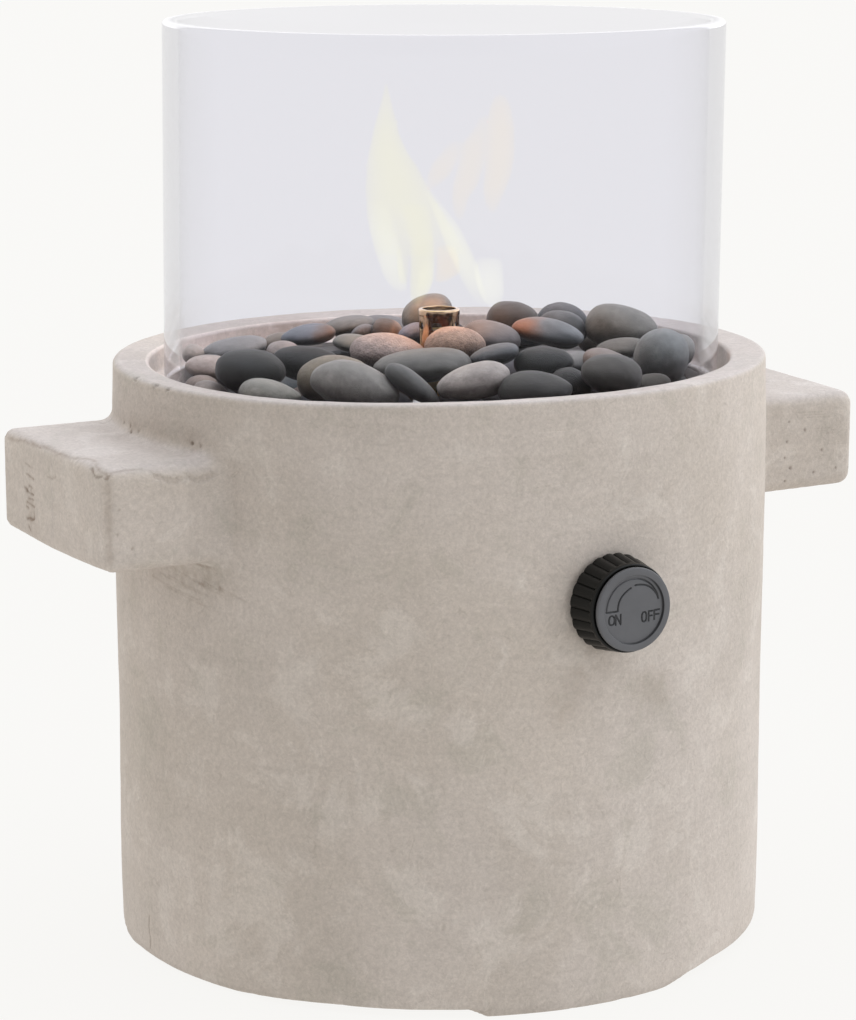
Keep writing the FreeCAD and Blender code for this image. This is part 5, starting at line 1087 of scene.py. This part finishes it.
def build_burner():
    n = 288
    lip = rounded(
        [
            (6.02, 184.0, 0.15),
            (6.45, 184.0, 0.2),
            (6.45, 198.9, 0.0),
            (6.62, 199.2, 0.12),
            (6.62, 200.9, 0.55),
            (5.35, 201.15, 0.22),
            (5.3, 200.2, 0.1),
            (5.75, 199.2, 0.2),
            (5.75, 192.6, 0.1),
            (6.02, 192.6, 0.0),
        ],
        5,
    )
    # more rows on the wall, so that the ports have round edges
    prof = []
    for a, b in zip(lip, lip[1:] + lip[:1]):
        prof.append(a)
        length = math.hypot(a[0] - b[0], a[1] - b[1])
        cuts = int(length / (0.2))
        for t in np.linspace(0, 1, cuts + 2)[1:-1]:
            prof.append((a[0] + (b[0] - a[0]) * t, a[1] + (b[1] - a[1]) * t))
    v, f = lathe(prof, n)
    ang = np.arctan2(v[:, 0], -v[:, 1])
    rad = np.hypot(v[:, 0], v[:, 1])
    hole_r = 1.62
    keep = np.ones(len(f), bool)
    inside = np.zeros(len(v), bool)
    for i in range(6):
        mid = math.radians(-35.8 + 60 * i)
        off = (ang - mid + math.pi) % (2 * math.pi) - math.pi
        du, dv = off * 6.2, v[:, 2] - PORT_Z
        d = np.hypot(du, dv)
        wall = (np.abs(off) < 0.6) & (rad > 5.6)
        inside |= wall & (d < hole_r)
        # vertices close to the circle are drawn onto it
        close = wall & (np.abs(d - hole_r) < 0.16)
        k = np.where(close, hole_r / np.maximum(d, 1e-6), 1)
        du2, dv2 = du * k, dv * k
        a2 = mid + du2 / 6.2
        v[close, 0] = (rad * np.sin(a2))[close]
        v[close, 1] = (-rad * np.cos(a2))[close]
        v[close, 2] = (PORT_Z + dv2)[close]
        inside &= ~close
    keep = ~inside[f].any(1)
    f = f[keep]
    ob = solid("burner_cup", v, f, FINISH["burner_copper"], "base", sharp=35)
    bm = bmesh.new()
    bm.from_mesh(ob.data)
    loose = [q for q in bm.verts if not q.link_faces]
    bmesh.ops.delete(bm, geom=loose, context="VERTS")
    # walls of the ports between the outer and the inner skin
    open_edges = [e for e in bm.edges if len(e.link_faces) == 1]
    groups = {}
    seen = set()
    for e in open_edges:
        if e in seen:
            continue
        loop, todo = [], [e]
        while todo:
            q = todo.pop()
            if q in seen:
                continue
            seen.add(q)
            loop.append(q)
            for vert in q.verts:
                todo.extend(w for w in vert.link_edges if len(w.link_faces) == 1 and w not in seen)
        c = sum(((q.verts[0].co + q.verts[1].co) / 2 for q in loop), Vector()) / len(loop)
        key = round(math.degrees(math.atan2(c.x, -(c.y - AXIS_Y * 0.001))) / 60.0 + 0.6)
        groups.setdefault(key % 6, []).append(loop)
    for loops in groups.values():
        if len(loops) == 2:
            bmesh.ops.bridge_loops(bm, edges=loops[0] + loops[1])
    bmesh.ops.recalc_face_normals(bm, faces=bm.faces)
    bm.to_mesh(ob.data)
    bm.free()
    ob.data.shade_smooth()
    ob.data.set_sharp_from_angle(angle=math.radians(35))
    m = len(ob.data.vertices)
    co = np.empty(m * 3)
    ob.data.vertices.foreach_get("co", co)
    q = co.reshape(-1, 3) * 1000
    q[:, 1] -= AXIS_Y
    far = np.hypot(q[:, 0], q[:, 1])
    around = np.degrees(np.arctan2(q[:, 0], -q[:, 1]))
    wander = 9 * noise(q / 2.2)
    burnt = smooth_step(-67, -58, around + wander) * smooth_step(12, 2, around + wander) + smooth_step(24, 36, around + wander) * smooth_step(95, 75, around)
    burnt = np.maximum(burnt, smooth_step(-104, -116, around) * smooth_step(-165, -150, around))
    burnt = np.clip(burnt + 0.35 * noise(q / 1.3 + 5), 0, 1) * smooth_step(200.6, 199.9, q[:, 2] + 0.25 * noise(q / 1.5 + 3))
    paint(ob, "burnt", burnt)
    # darker inside the cup, most below the shoulder
    paint(ob, "cup_inside_dark", np.where(q[:, 2] > 199.0, 0.25, 0.9) * smooth_step(6.38, 6.2, far) * smooth_step(201.0, 200.4, q[:, 2]))
    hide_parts("burner_head")


build_burner()


# --------------------------------------------------------------------------
# knob: a ribbed skirt with a plain front band, hollow at the back
# --------------------------------------------------------------------------
KNOB_Z = 126.3
KNOB_BACK = 106.3
KNOB_DEEP = 1.17
FACE = 0.97


def out_of_front(p):
    """(right, up, out) in the knob's own frame to the base frame."""
    q = np.empty_like(p)
    q[:, 0] = p[:, 0]
    q[:, 1] = -p[:, 2]
    q[:, 2] = p[:, 1] + KNOB_Z
    return q


def build_knob():
    n = 24 * 22
    flank = []
    for d in np.linspace(0.5, 8.1, 34):
        flank.append((14.9 - 1.55 * d / 8.9, KNOB_BACK + d))
    corners = (
        [(0.0, KNOB_BACK + 7.2), (2.7, KNOB_BACK + 7.2), (3.02, KNOB_BACK + 6.9), (3.02, KNOB_BACK + 0.9), (3.3, KNOB_BACK + 0.6), (5.7, KNOB_BACK + 0.6), (6.0, KNOB_BACK + 0.9), (6.0, KNOB_BACK + 7.1), (6.2, KNOB_BACK + 7.3),
         (12.2, KNOB_BACK + 7.3), (12.4, KNOB_BACK + 7.1), (12.95, KNOB_BACK + 0.2), (13.1, KNOB_BACK), (14.75, KNOB_BACK), (14.87, KNOB_BACK + 0.15)]
        + flank
        + [(13.42, KNOB_BACK + 8.4), (13.36, KNOB_BACK + 8.62), (13.24, KNOB_BACK + 8.8), (13.1, KNOB_BACK + 8.88), (12.95, KNOB_BACK + 8.9), (12.78, KNOB_BACK + 8.86), (12.72, KNOB_BACK + 8.7), (12.5, KNOB_BACK + 8.6), (0.0, KNOB_BACK + 8.6)]
    )
    v, f = lathe(corners, n, closed=False)
    r = np.hypot(v[:, 0], v[:, 1])
    a = np.arctan2(v[:, 1], v[:, 0])
    d = v[:, 2] - KNOB_BACK
    rib = np.abs(np.sin(a * 12 + 0.001)) ** 0.62
    depth = 0.78 * (1 - smooth_step(7.0, 8.05, d)) * smooth_step(-0.02, 0.5, d + 0.25)
    r2 = np.where(r > 13.3, r - depth * (1 - rib), r)
    v[:, 0], v[:, 1] = r2 * np.cos(a), r2 * np.sin(a)
    v[:, 2] = KNOB_BACK + (v[:, 2] - KNOB_BACK) * KNOB_DEEP
    ob = solid("knob_skirt", out_of_front(v), f, FINISH["knob_black"], "knob", sharp=50)
    weld(ob)
    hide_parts("control_knob")


build_knob()


def segments():
    """The lines engraved in the dial, as pairs of points in its own plane."""
    lines = []

    def path(points):
        lines.extend(zip(points, points[1:]))

    def arc(r0, a0, r1, a1, k=24):
        out = []
        for t in np.linspace(0, 1, k):
            a = math.radians(a0 + (a1 - a0) * t)
            r = r0 + (r1 - r0) * t
            out.append((r * math.cos(a), r * math.sin(a)))
        return out

    def ring(cx, cy, a, b, k=28, square=2.6):
        out = []
        for t in np.linspace(0, 2 * math.pi, k + 1):
            c, s = math.cos(t), math.sin(t)
            out.append((cx + a * abs(c) ** (2 / square) * np.sign(c), cy + b * abs(s) ** (2 / square) * np.sign(s)))
        path(out)

    path(arc(9.55, 180, 9.5, 25, 48) + [(9.04, 2.48)])
    inner = [(5.38, 180), (5.61, 160), (5.94, 134), (6.18, 115), (6.71, 97)]
    rest = [(7.38, 85), (7.84, 70), (8.44, 55), (8.91, 38), (9.28, 24)]

    def smooth(rows):
        rows = np.array(rows, float)
        t = np.linspace(0, len(rows) - 1, len(rows) * 6)
        r = np.interp(t, range(len(rows)), rows[:, 0])
        a = np.radians(np.interp(t, range(len(rows)), rows[:, 1]))
        return list(zip(r * np.cos(a), r * np.sin(a)))

    path(smooth(inner))
    path(smooth(rest) + [(9.04, 2.48)])
    path([(-9.54, -0.1), (-5.38, -0.06)])
    ring(-7.6, -2.73, 0.95, 1.4)
    path([(-6.16, -4.24), (-6.16, -1.15), (-4.39, -4.24), (-4.39, -1.15)])
    ring(4.0, -2.8, 0.8, 1.5)
    path([(6.95, -1.2), (5.65, -1.2), (5.65, -4.27)])
    path([(5.65, -2.69), (6.8, -2.69)])
    path([(9.45, -1.04), (7.65, -1.1), (7.65, -4.05)])
    path([(7.65, -2.45), (9.3, -2.45)])
    lines = np.array(lines, float)
    # painted shade: the outer arc and its end are inked only towards the right, where their wall lies in shade; their
    # lit wall on the left stays light
    far = np.hypot(*lines.mean(1).T) > 9.2
    ink_and_shade_by_line = np.where(far, smooth_step(-1.0, 6.0, lines.mean(1)[:, 0]), 1.0)
    return lines, ink_and_shade_by_line


def build_dial():
    n = 480
    face = list(np.linspace(0.0, 10.45, 80))
    rows = [(r, 0.8) for r in face]
    rows += [(10.58, 0.82), (10.66, 0.95), (10.70, 1.35), (10.78, 1.47), (10.95, 1.5)]
    rows += [(11.8, 1.5), (12.65, 1.5), (12.85, 1.45), (12.98, 1.32), (13.03, 1.15), (13.03, 0.35), (12.9, 0.2), (6.0, 0.2), (0.0, 0.2)]
    v, f = lathe([(r, z) for r, z in rows], n, closed=False)
    lines, ink_and_shade_by_line = segments()
    top = np.nonzero((np.hypot(v[:, 0], v[:, 1]) < 10.5) & (v[:, 2] > 0.7))[0]
    best = np.full(len(top), 9.0)
    tint = np.zeros(len(top))
    q = v[top, :2]
    for (a, b), line_ink_and_shade in zip(lines, ink_and_shade_by_line):
        ab = b - a
        t = np.clip(((q - a) @ ab) / max(ab @ ab, 1e-9), 0, 1)
        gap = np.linalg.norm(q - a - t[:, None] * ab, axis=1)
        best = np.minimum(best, gap)
        tint = np.maximum(tint, line_ink_and_shade * (1 - smooth_step(0.18, 0.34, gap)))
    groove = 1 - smooth_step(0.16, 0.34, best)
    v[top, 2] -= 0.36 * groove
    ink_and_shade = np.zeros(len(v))
    ink_and_shade[top] = tint
    # painted shade: the step round the face is darkened on the right and below, where its wall lies in shade
    around = np.hypot(v[:, 0], v[:, 1])
    side = smooth_step(-4.0, 7.0, v[:, 0] - 0.5 * v[:, 1])
    ink_and_shade = np.maximum(ink_and_shade, side * (1 - smooth_step(0.12, 0.3, np.abs(around - 10.62))) * (v[:, 2] > 0.6))
    v[:, :2] *= FACE
    v[:, 2] += KNOB_BACK + 8.9 * KNOB_DEEP + 0.3
    ob = solid("dial_face", out_of_front(v), f, None, "knob", sharp=60)
    k = Nodes("knob_grey", rough=0.46, colour=(0.118, 0.118, 0.124))
    fine = k.noise(3200, 3, 0.6)
    cloud = k.noise(90, 4, 0.6)
    tone = k.math("MULTIPLY", k.remap(fine, 0.3, 0.7, 0.97, 1.03), k.remap(cloud, 0.35, 0.65, 0.93, 1.07))
    colour = k.scale_colour((0.098, 0.098, 0.104), tone)
    # ink in the letters and lines, and painted shade on the right of the outer arc and of the step
    colour = k.mix(k.attribute("ink_and_shade"), colour, (0.018, 0.018, 0.020))
    ob.data.materials.append(k.surface(colour, k.remap(fine, 0.3, 0.7, 0.40, 0.50), k.bump(fine, 0.25, 0.00003)))
    paint(ob, "ink_and_shade", ink_and_shade)
    weld(ob)
    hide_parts("knob_face")


build_dial()

# --------------------------------------------------------------------------
# the remaining pieces keep the construction's own shape
# --------------------------------------------------------------------------
for item in frame["record"]["subparts"]:
    node = item["node"]
    if node not in frame["nodes"]:
        continue
    ob = frame["nodes"][node]
    finish = FINISH.get(item["material_slot"])
    if finish is None:
        continue
    ob.data.materials.clear()
    ob.data.materials.append(finish)

# --------------------------------------------------------------------------
# flame: closed lobes filled with a glowing, slightly blue-absorbing gas
# --------------------------------------------------------------------------
def gas(name, glow, strength, takes, density):
    k = Nodes(name)
    k.nt.nodes.remove(k.p)
    k.nt.nodes.remove(k.coord.node)
    light = k.nt.nodes.new("ShaderNodeEmission")
    light.inputs["Color"].default_value = (*glow, 1)
    light.inputs["Strength"].default_value = strength
    soak = k.nt.nodes.new("ShaderNodeVolumeAbsorption")
    soak.inputs["Color"].default_value = (*takes, 1)
    soak.inputs["Density"].default_value = density
    both_ways = k.nt.nodes.new("ShaderNodeAddShader")
    k.link(light.outputs[0], both_ways.inputs[0])
    k.link(soak.outputs[0], both_ways.inputs[1])
    k.link(both_ways.outputs[0], k.out.inputs["Volume"])
    return k.mat


FLAME_GAS = {
    "yellow": gas("flame_gas_yellow", (1.0, 0.90, 0.14), 7.4, (1, 1, 0), 10.5),
    "white": gas("flame_gas_white", (0.97, 1.0, 0.46), 11.5, (1, 1, 0.2), 6.0),
    "pale": gas("flame_gas_pale", (0.97, 1.0, 0.46), 10.5, (1, 1, 0.6), 2.0),
    "pink": gas("flame_gas_pink", (1.0, 0.32, 0.02), 13.5, (1, 0.96, 0), 18.0),
}
# each lobe: rows of (height above the table, left and right edge along the
# picture's horizontal through the axis, half thickness), from its top to its foot
LOBES = {
    "flame_main": ("yellow", [(272.7, -17.0, -16.4, 1.2), (268.4, -18.0, -15.4, 2.7), (262.5, -19.6, -13.9, 3.7), (256.7, -21.3, -12.5, 4.6), (250.8, -22.4, -9.9, 5.0), (244.9, -23.2, -5.9, 5.0), (239.0, -23.5, -3.0, 5.0), (234.6, -23.5, -0.2, 4.8), (230.2, -23.0, 2.4, 4.2), (225.8, -22.1, 5.0, 3.0), (221.3, -21.0, 7.6, 1.7), (217.6, -20.1, 9.5, 0.6)]),
    "flame_left": ("white", [(236.1, -23.1, -17.1, 0.5), (230.2, -23.0, -15.0, 1.6), (225.8, -22.1, -13.8, 2.8), (221.3, -21.1, -12.7, 4.0), (216.9, -19.7, -11.6, 4.4), (212.4, -18.3, -10.9, 3.8), (208.7, -16.0, -10.1, 3.0), (206.4, -13.8, -10.5, 1.0)]),
    "flame_mid": ("yellow", [(234.6, -12.7, -3.8, 0.5), (228.7, -10.8, -2.4, 1.6), (222.8, -9.7, -1.6, 3.3), (216.9, -9.4, -1.2, 5.0), (210.9, -9.4, -1.5, 5.0), (206.4, -9.4, -3.1, 4.5), (203.4, -9.0, -5.3, 2.8), (202.0, -8.1, -6.4, 0.8)]),
    "flame_mid_pale": ("pale", [(216.9, -5.7, -1.2, 0.6), (212.4, -6.4, -1.2, 1.6), (207.9, -7.2, -2.4, 1.8), (204.2, -7.5, -4.9, 0.8)]),
    "flame_wash": ("yellow", [(228.7, -13.8, -9.4, 0.4), (222.8, -13.7, -9.4, 1.0), (216.9, -13.6, -9.4, 2.6), (212.4, -13.3, -9.6, 2.6), (208.7, -12.9, -9.9, 1.0)]),
    "flame_mid_pink": ("pink", [(221.3, -1.2, 5.0, 0.8), (216.9, -1.2, 6.5, 2.4), (212.4, -1.2, 6.9, 2.4), (209.4, -1.6, 2.1, 1.2)]),
    "flame_right": ("white", [(239.0, -5.3, -2.4, 0.6), (233.1, -2.4, 2.1, 2.4), (227.2, -0.1, 6.5, 3.6), (221.3, 1.9, 9.5, 4.3), (216.9, 3.9, 11.5, 4.6), (212.4, 5.9, 13.2, 4.0), (207.9, 8.4, 14.3, 2.8), (204.2, 10.6, 15.8, 1.2), (202.0, 12.5, 16.2, 0.4)]),
    "flame_foot": ("pale", [(217.4, 12.4, 19.4, 1.1), (215.4, 11.0, 20.4, 3.7), (210.9, 11.3, 20.7, 5.2), (206.4, 12.5, 20.8, 5.2), (203.4, 14.1, 20.2, 3.7), (201.2, 16.2, 18.4, 1.1)]),
    "flame_pink_high": ("pink", [(269.1, 17.8, 20.7, 0.8), (265.4, 15.9, 22.9, 1.6), (258.1, 15.2, 24.0, 2.0), (250.8, 14.7, 24.1, 2.0), (243.5, 14.2, 23.0, 2.0), (239.0, 13.8, 21.2, 1.8), (234.6, 14.6, 19.4, 1.2), (231.7, 16.1, 17.9, 0.5)]),
    "flame_pink_arm": ("pink", [(262.5, 13.4, 16.0, 0.5), (258.1, 10.8, 16.0, 1.1), (253.7, 7.2, 15.6, 1.6), (249.3, 6.5, 14.9, 1.7), (244.9, 5.4, 13.8, 1.7), (240.5, 4.3, 12.4, 1.7), (236.1, 3.9, 9.4, 1.5), (231.7, 4.6, 8.3, 0.9), (229.5, 5.8, 7.6, 0.4)]),
    "flame_pink_low": ("pink", [(254.5, 3.5, 7.9, 0.4), (250.8, 0.6, 7.2, 1.2), (247.1, -2.4, 5.4, 1.5), (243.5, -3.8, 3.5, 1.5), (240.5, -4.0, -0.2, 0.8), (239.0, -3.5, -2.4, 0.4)]),
}


def flame_lobe(name, kind, rows):
    rows = np.array(rows, float)
    n = 44
    m = len(rows) * 6
    z = np.linspace(rows[0, 0], rows[-1, 0], m)
    order = np.argsort(rows[:, 0])
    left = np.interp(z, rows[order, 0], rows[order, 1])
    right = np.interp(z, rows[order, 0], rows[order, 2])
    deep = np.interp(z, rows[order, 0], rows[order, 3])
    for _ in range(2):
        deep[1:-1] = (deep[:-2] + 2 * deep[1:-1] + deep[2:]) / 4
        left[1:-1] = (left[:-2] + 2 * left[1:-1] + left[2:]) / 4
        right[1:-1] = (right[:-2] + 2 * right[1:-1] + right[2:]) / 4
    mid, half = (left + right) / 2, np.maximum((right - left) / 2, 0.15)
    half[0] = half[-1] = 0.15
    ang = np.arange(n) * 2 * math.pi / n
    wave = 1 + 0.05 * noise(np.stack([np.repeat(z / 7.0, n), np.tile(np.cos(ang), m), np.tile(np.sin(ang), m)], 1)).reshape(m, n)
    s = mid[:, None] + half[:, None] * np.cos(ang) * wave
    t = deep[:, None] * np.sign(np.sin(ang)) * np.abs(np.sin(ang)) ** 0.8 * wave
    c, d = math.cos(math.radians(28.8)), math.sin(math.radians(28.8))
    v = np.stack([s * c + t * d, -s * d + t * c, np.repeat(z[:, None], n, 1)], -1).reshape(-1, 3)
    i, j = np.meshgrid(np.arange(m - 1), np.arange(n), indexing="ij")
    quads = np.stack([i * n + j, (i + 1) * n + j, (i + 1) * n + (j + 1) % n, i * n + (j + 1) % n], -1).reshape(-1, 4)
    faces = [tuple(q) for q in quads] + [tuple(range(n)), tuple(reversed(range((m - 1) * n, m * n)))]
    ob = solid(name, v, faces, FLAME_GAS[kind], "base", sharp=60)
    bm = bmesh.new()
    bm.from_mesh(ob.data)
    bmesh.ops.recalc_face_normals(bm, faces=bm.faces)
    bm.to_mesh(ob.data)
    bm.free()


for lobe, (kind, rows) in LOBES.items():
    flame_lobe(lobe, kind, rows)


# --------------------------------------------------------------------------
# floor, light and camera
# --------------------------------------------------------------------------
def floor_material():
    k = Nodes("floor_white", rough=1.0, colour=(0.8, 0.8, 0.8), spec=0.0)
    glow = k.nt.nodes.new("ShaderNodeEmission")
    glow.inputs["Color"].default_value = (0.895, 0.887, 0.868, 1)
    glow.inputs["Strength"].default_value = 1.0
    k.p.inputs["Base Color"].default_value = (0.042, 0.042, 0.042, 1)
    add = k.nt.nodes.new("ShaderNodeAddShader")
    k.link(k.p.outputs[0], add.inputs[0])
    k.link(glow.outputs[0], add.inputs[1])
    k.link(add.outputs[0], k.out.inputs["Surface"])
    return k.mat


half = 60.0
floor_mesh = bpy.data.meshes.new("floor")
floor_mesh.from_pydata([(-half, -half, 0), (half, -half, 0), (half, half, 0), (-half, half, 0)], [], [(0, 1, 2, 3)])
floor_mesh.materials.append(floor_material())
floor = bpy.data.objects.new("floor", floor_mesh)
bpy.context.scene.collection.objects.link(floor)

beta = math.radians(28.8)
view_right = Vector((math.cos(beta), -math.sin(beta), 0))
view_ahead = Vector((math.sin(beta), math.cos(beta), 0))


def studio_world():
    """An even white room: brightest overhead and on the right, dim behind the camera."""
    world = bpy.data.worlds.new("studio")
    bpy.context.scene.world = world
    world.use_nodes = True
    nt = world.node_tree
    back = nt.nodes["Background"]
    way = nt.nodes.new("ShaderNodeTexCoord").outputs["Generated"]
    total = None
    for direction, low, high, gain, tint in WORLD:
        dot = nt.nodes.new("ShaderNodeVectorMath")
        dot.operation = "DOT_PRODUCT"
        nt.links.new(way, dot.inputs[0])
        dot.inputs[1].default_value = direction
        n = nt.nodes.new("ShaderNodeMapRange")
        n.interpolation_type = "SMOOTHSTEP"
        nt.links.new(dot.outputs["Value"], n.inputs["Value"])
        n.inputs["From Min"].default_value = low
        n.inputs["From Max"].default_value = high
        n.inputs["To Min"].default_value = 0
        n.inputs["To Max"].default_value = gain
        lit = nt.nodes.new("ShaderNodeVectorMath")
        lit.operation = "SCALE"
        lit.inputs[0].default_value = tint
        nt.links.new(n.outputs[0], lit.inputs["Scale"])
        add = nt.nodes.new("ShaderNodeVectorMath")
        add.operation = "ADD"
        nt.links.new(lit.outputs[0], add.inputs[0])
        if total is None:
            add.inputs[1].default_value = WORLD_BASE
        else:
            nt.links.new(total, add.inputs[1])
        total = add.outputs[0]
    nt.links.new(total, back.inputs["Color"])
    back.inputs["Strength"].default_value = 1.0


WORLD_BASE = (0.10, 0.10, 0.10)
WORLD = [
    ((0, 0, 1), 0.5, 1.0, 0.97, (0.98, 1.0, 1.03)),
    ((0, 0, 1), 0.75, 1.0, 0.85, (0.95, 1.0, 1.08)),
    (tuple(-view_ahead), 0.35, 1.0, 0.12, (1.0, 1.0, 1.0)),
    (tuple(view_right), 0.15, 0.95, 1.56, (0.97, 1.0, 1.05)),
    (tuple(-view_right), 0.25, 1.0, 0.80, (1.03, 1.0, 0.97)),
    (tuple(view_ahead), 0.1, 1.0, 1.30, (1.0, 1.0, 1.0)),
]
studio_world()

lamp = bpy.data.lights.new("light_flame", "POINT")
lamp.energy = 0.030
lamp.color = (1.0, 0.42, 0.14)
lamp.shadow_soft_size = 0.012
spot = bpy.data.objects.new("light_flame", lamp)
bpy.context.scene.collection.objects.link(spot)
spot.location = (0.0, AXIS_Y * 0.001, 0.209)
spot.visible_camera = False
spot.visible_glossy = False
spot.visible_transmission = False

lamp_low = bpy.data.lights.new("light_flame_foot", "POINT")
lamp_low.energy = 0.006
lamp_low.color = (1.0, 0.50, 0.20)
lamp_low.shadow_soft_size = 0.004
spot_low = bpy.data.objects.new("light_flame_foot", lamp_low)
bpy.context.scene.collection.objects.link(spot_low)
spot_low.location = (-0.0125, (AXIS_Y + 6.0) * 0.001, 0.2075)
spot_low.visible_camera = False
spot_low.visible_glossy = False
spot_low.visible_transmission = False

camera_data = bpy.data.cameras.new("camera")
camera_data.lens = 117.596
camera_data.sensor_width = 36.0
camera_data.sensor_height = 36.0
camera_data.clip_start = 0.05
camera_data.clip_end = 500.0
camera = bpy.data.objects.new("camera", camera_data)
bpy.context.scene.collection.objects.link(camera)
pitch = 0.2019
ahead = Vector((math.sin(beta) * math.cos(pitch), math.cos(beta) * math.cos(pitch), -math.sin(pitch)))
right = Vector((math.cos(beta), -math.sin(beta), 0))
up = right.cross(ahead)
roll = -0.0008
right2 = right * math.cos(roll) + up * math.sin(roll)
up2 = up * math.cos(roll) - right * math.sin(roll)
pose = Matrix((
    (right2.x, up2.x, -ahead.x),
    (right2.y, up2.y, -ahead.y),
    (right2.z, up2.z, -ahead.z),
)).to_4x4()
pose.translation = Vector((-0.5130, -0.9192, 0.3517))
camera.matrix_world = pose
bpy.context.scene.camera = camera
bpy.context.scene.view_settings.view_transform = "Standard"
bpy.context.scene.view_settings.look = "None"
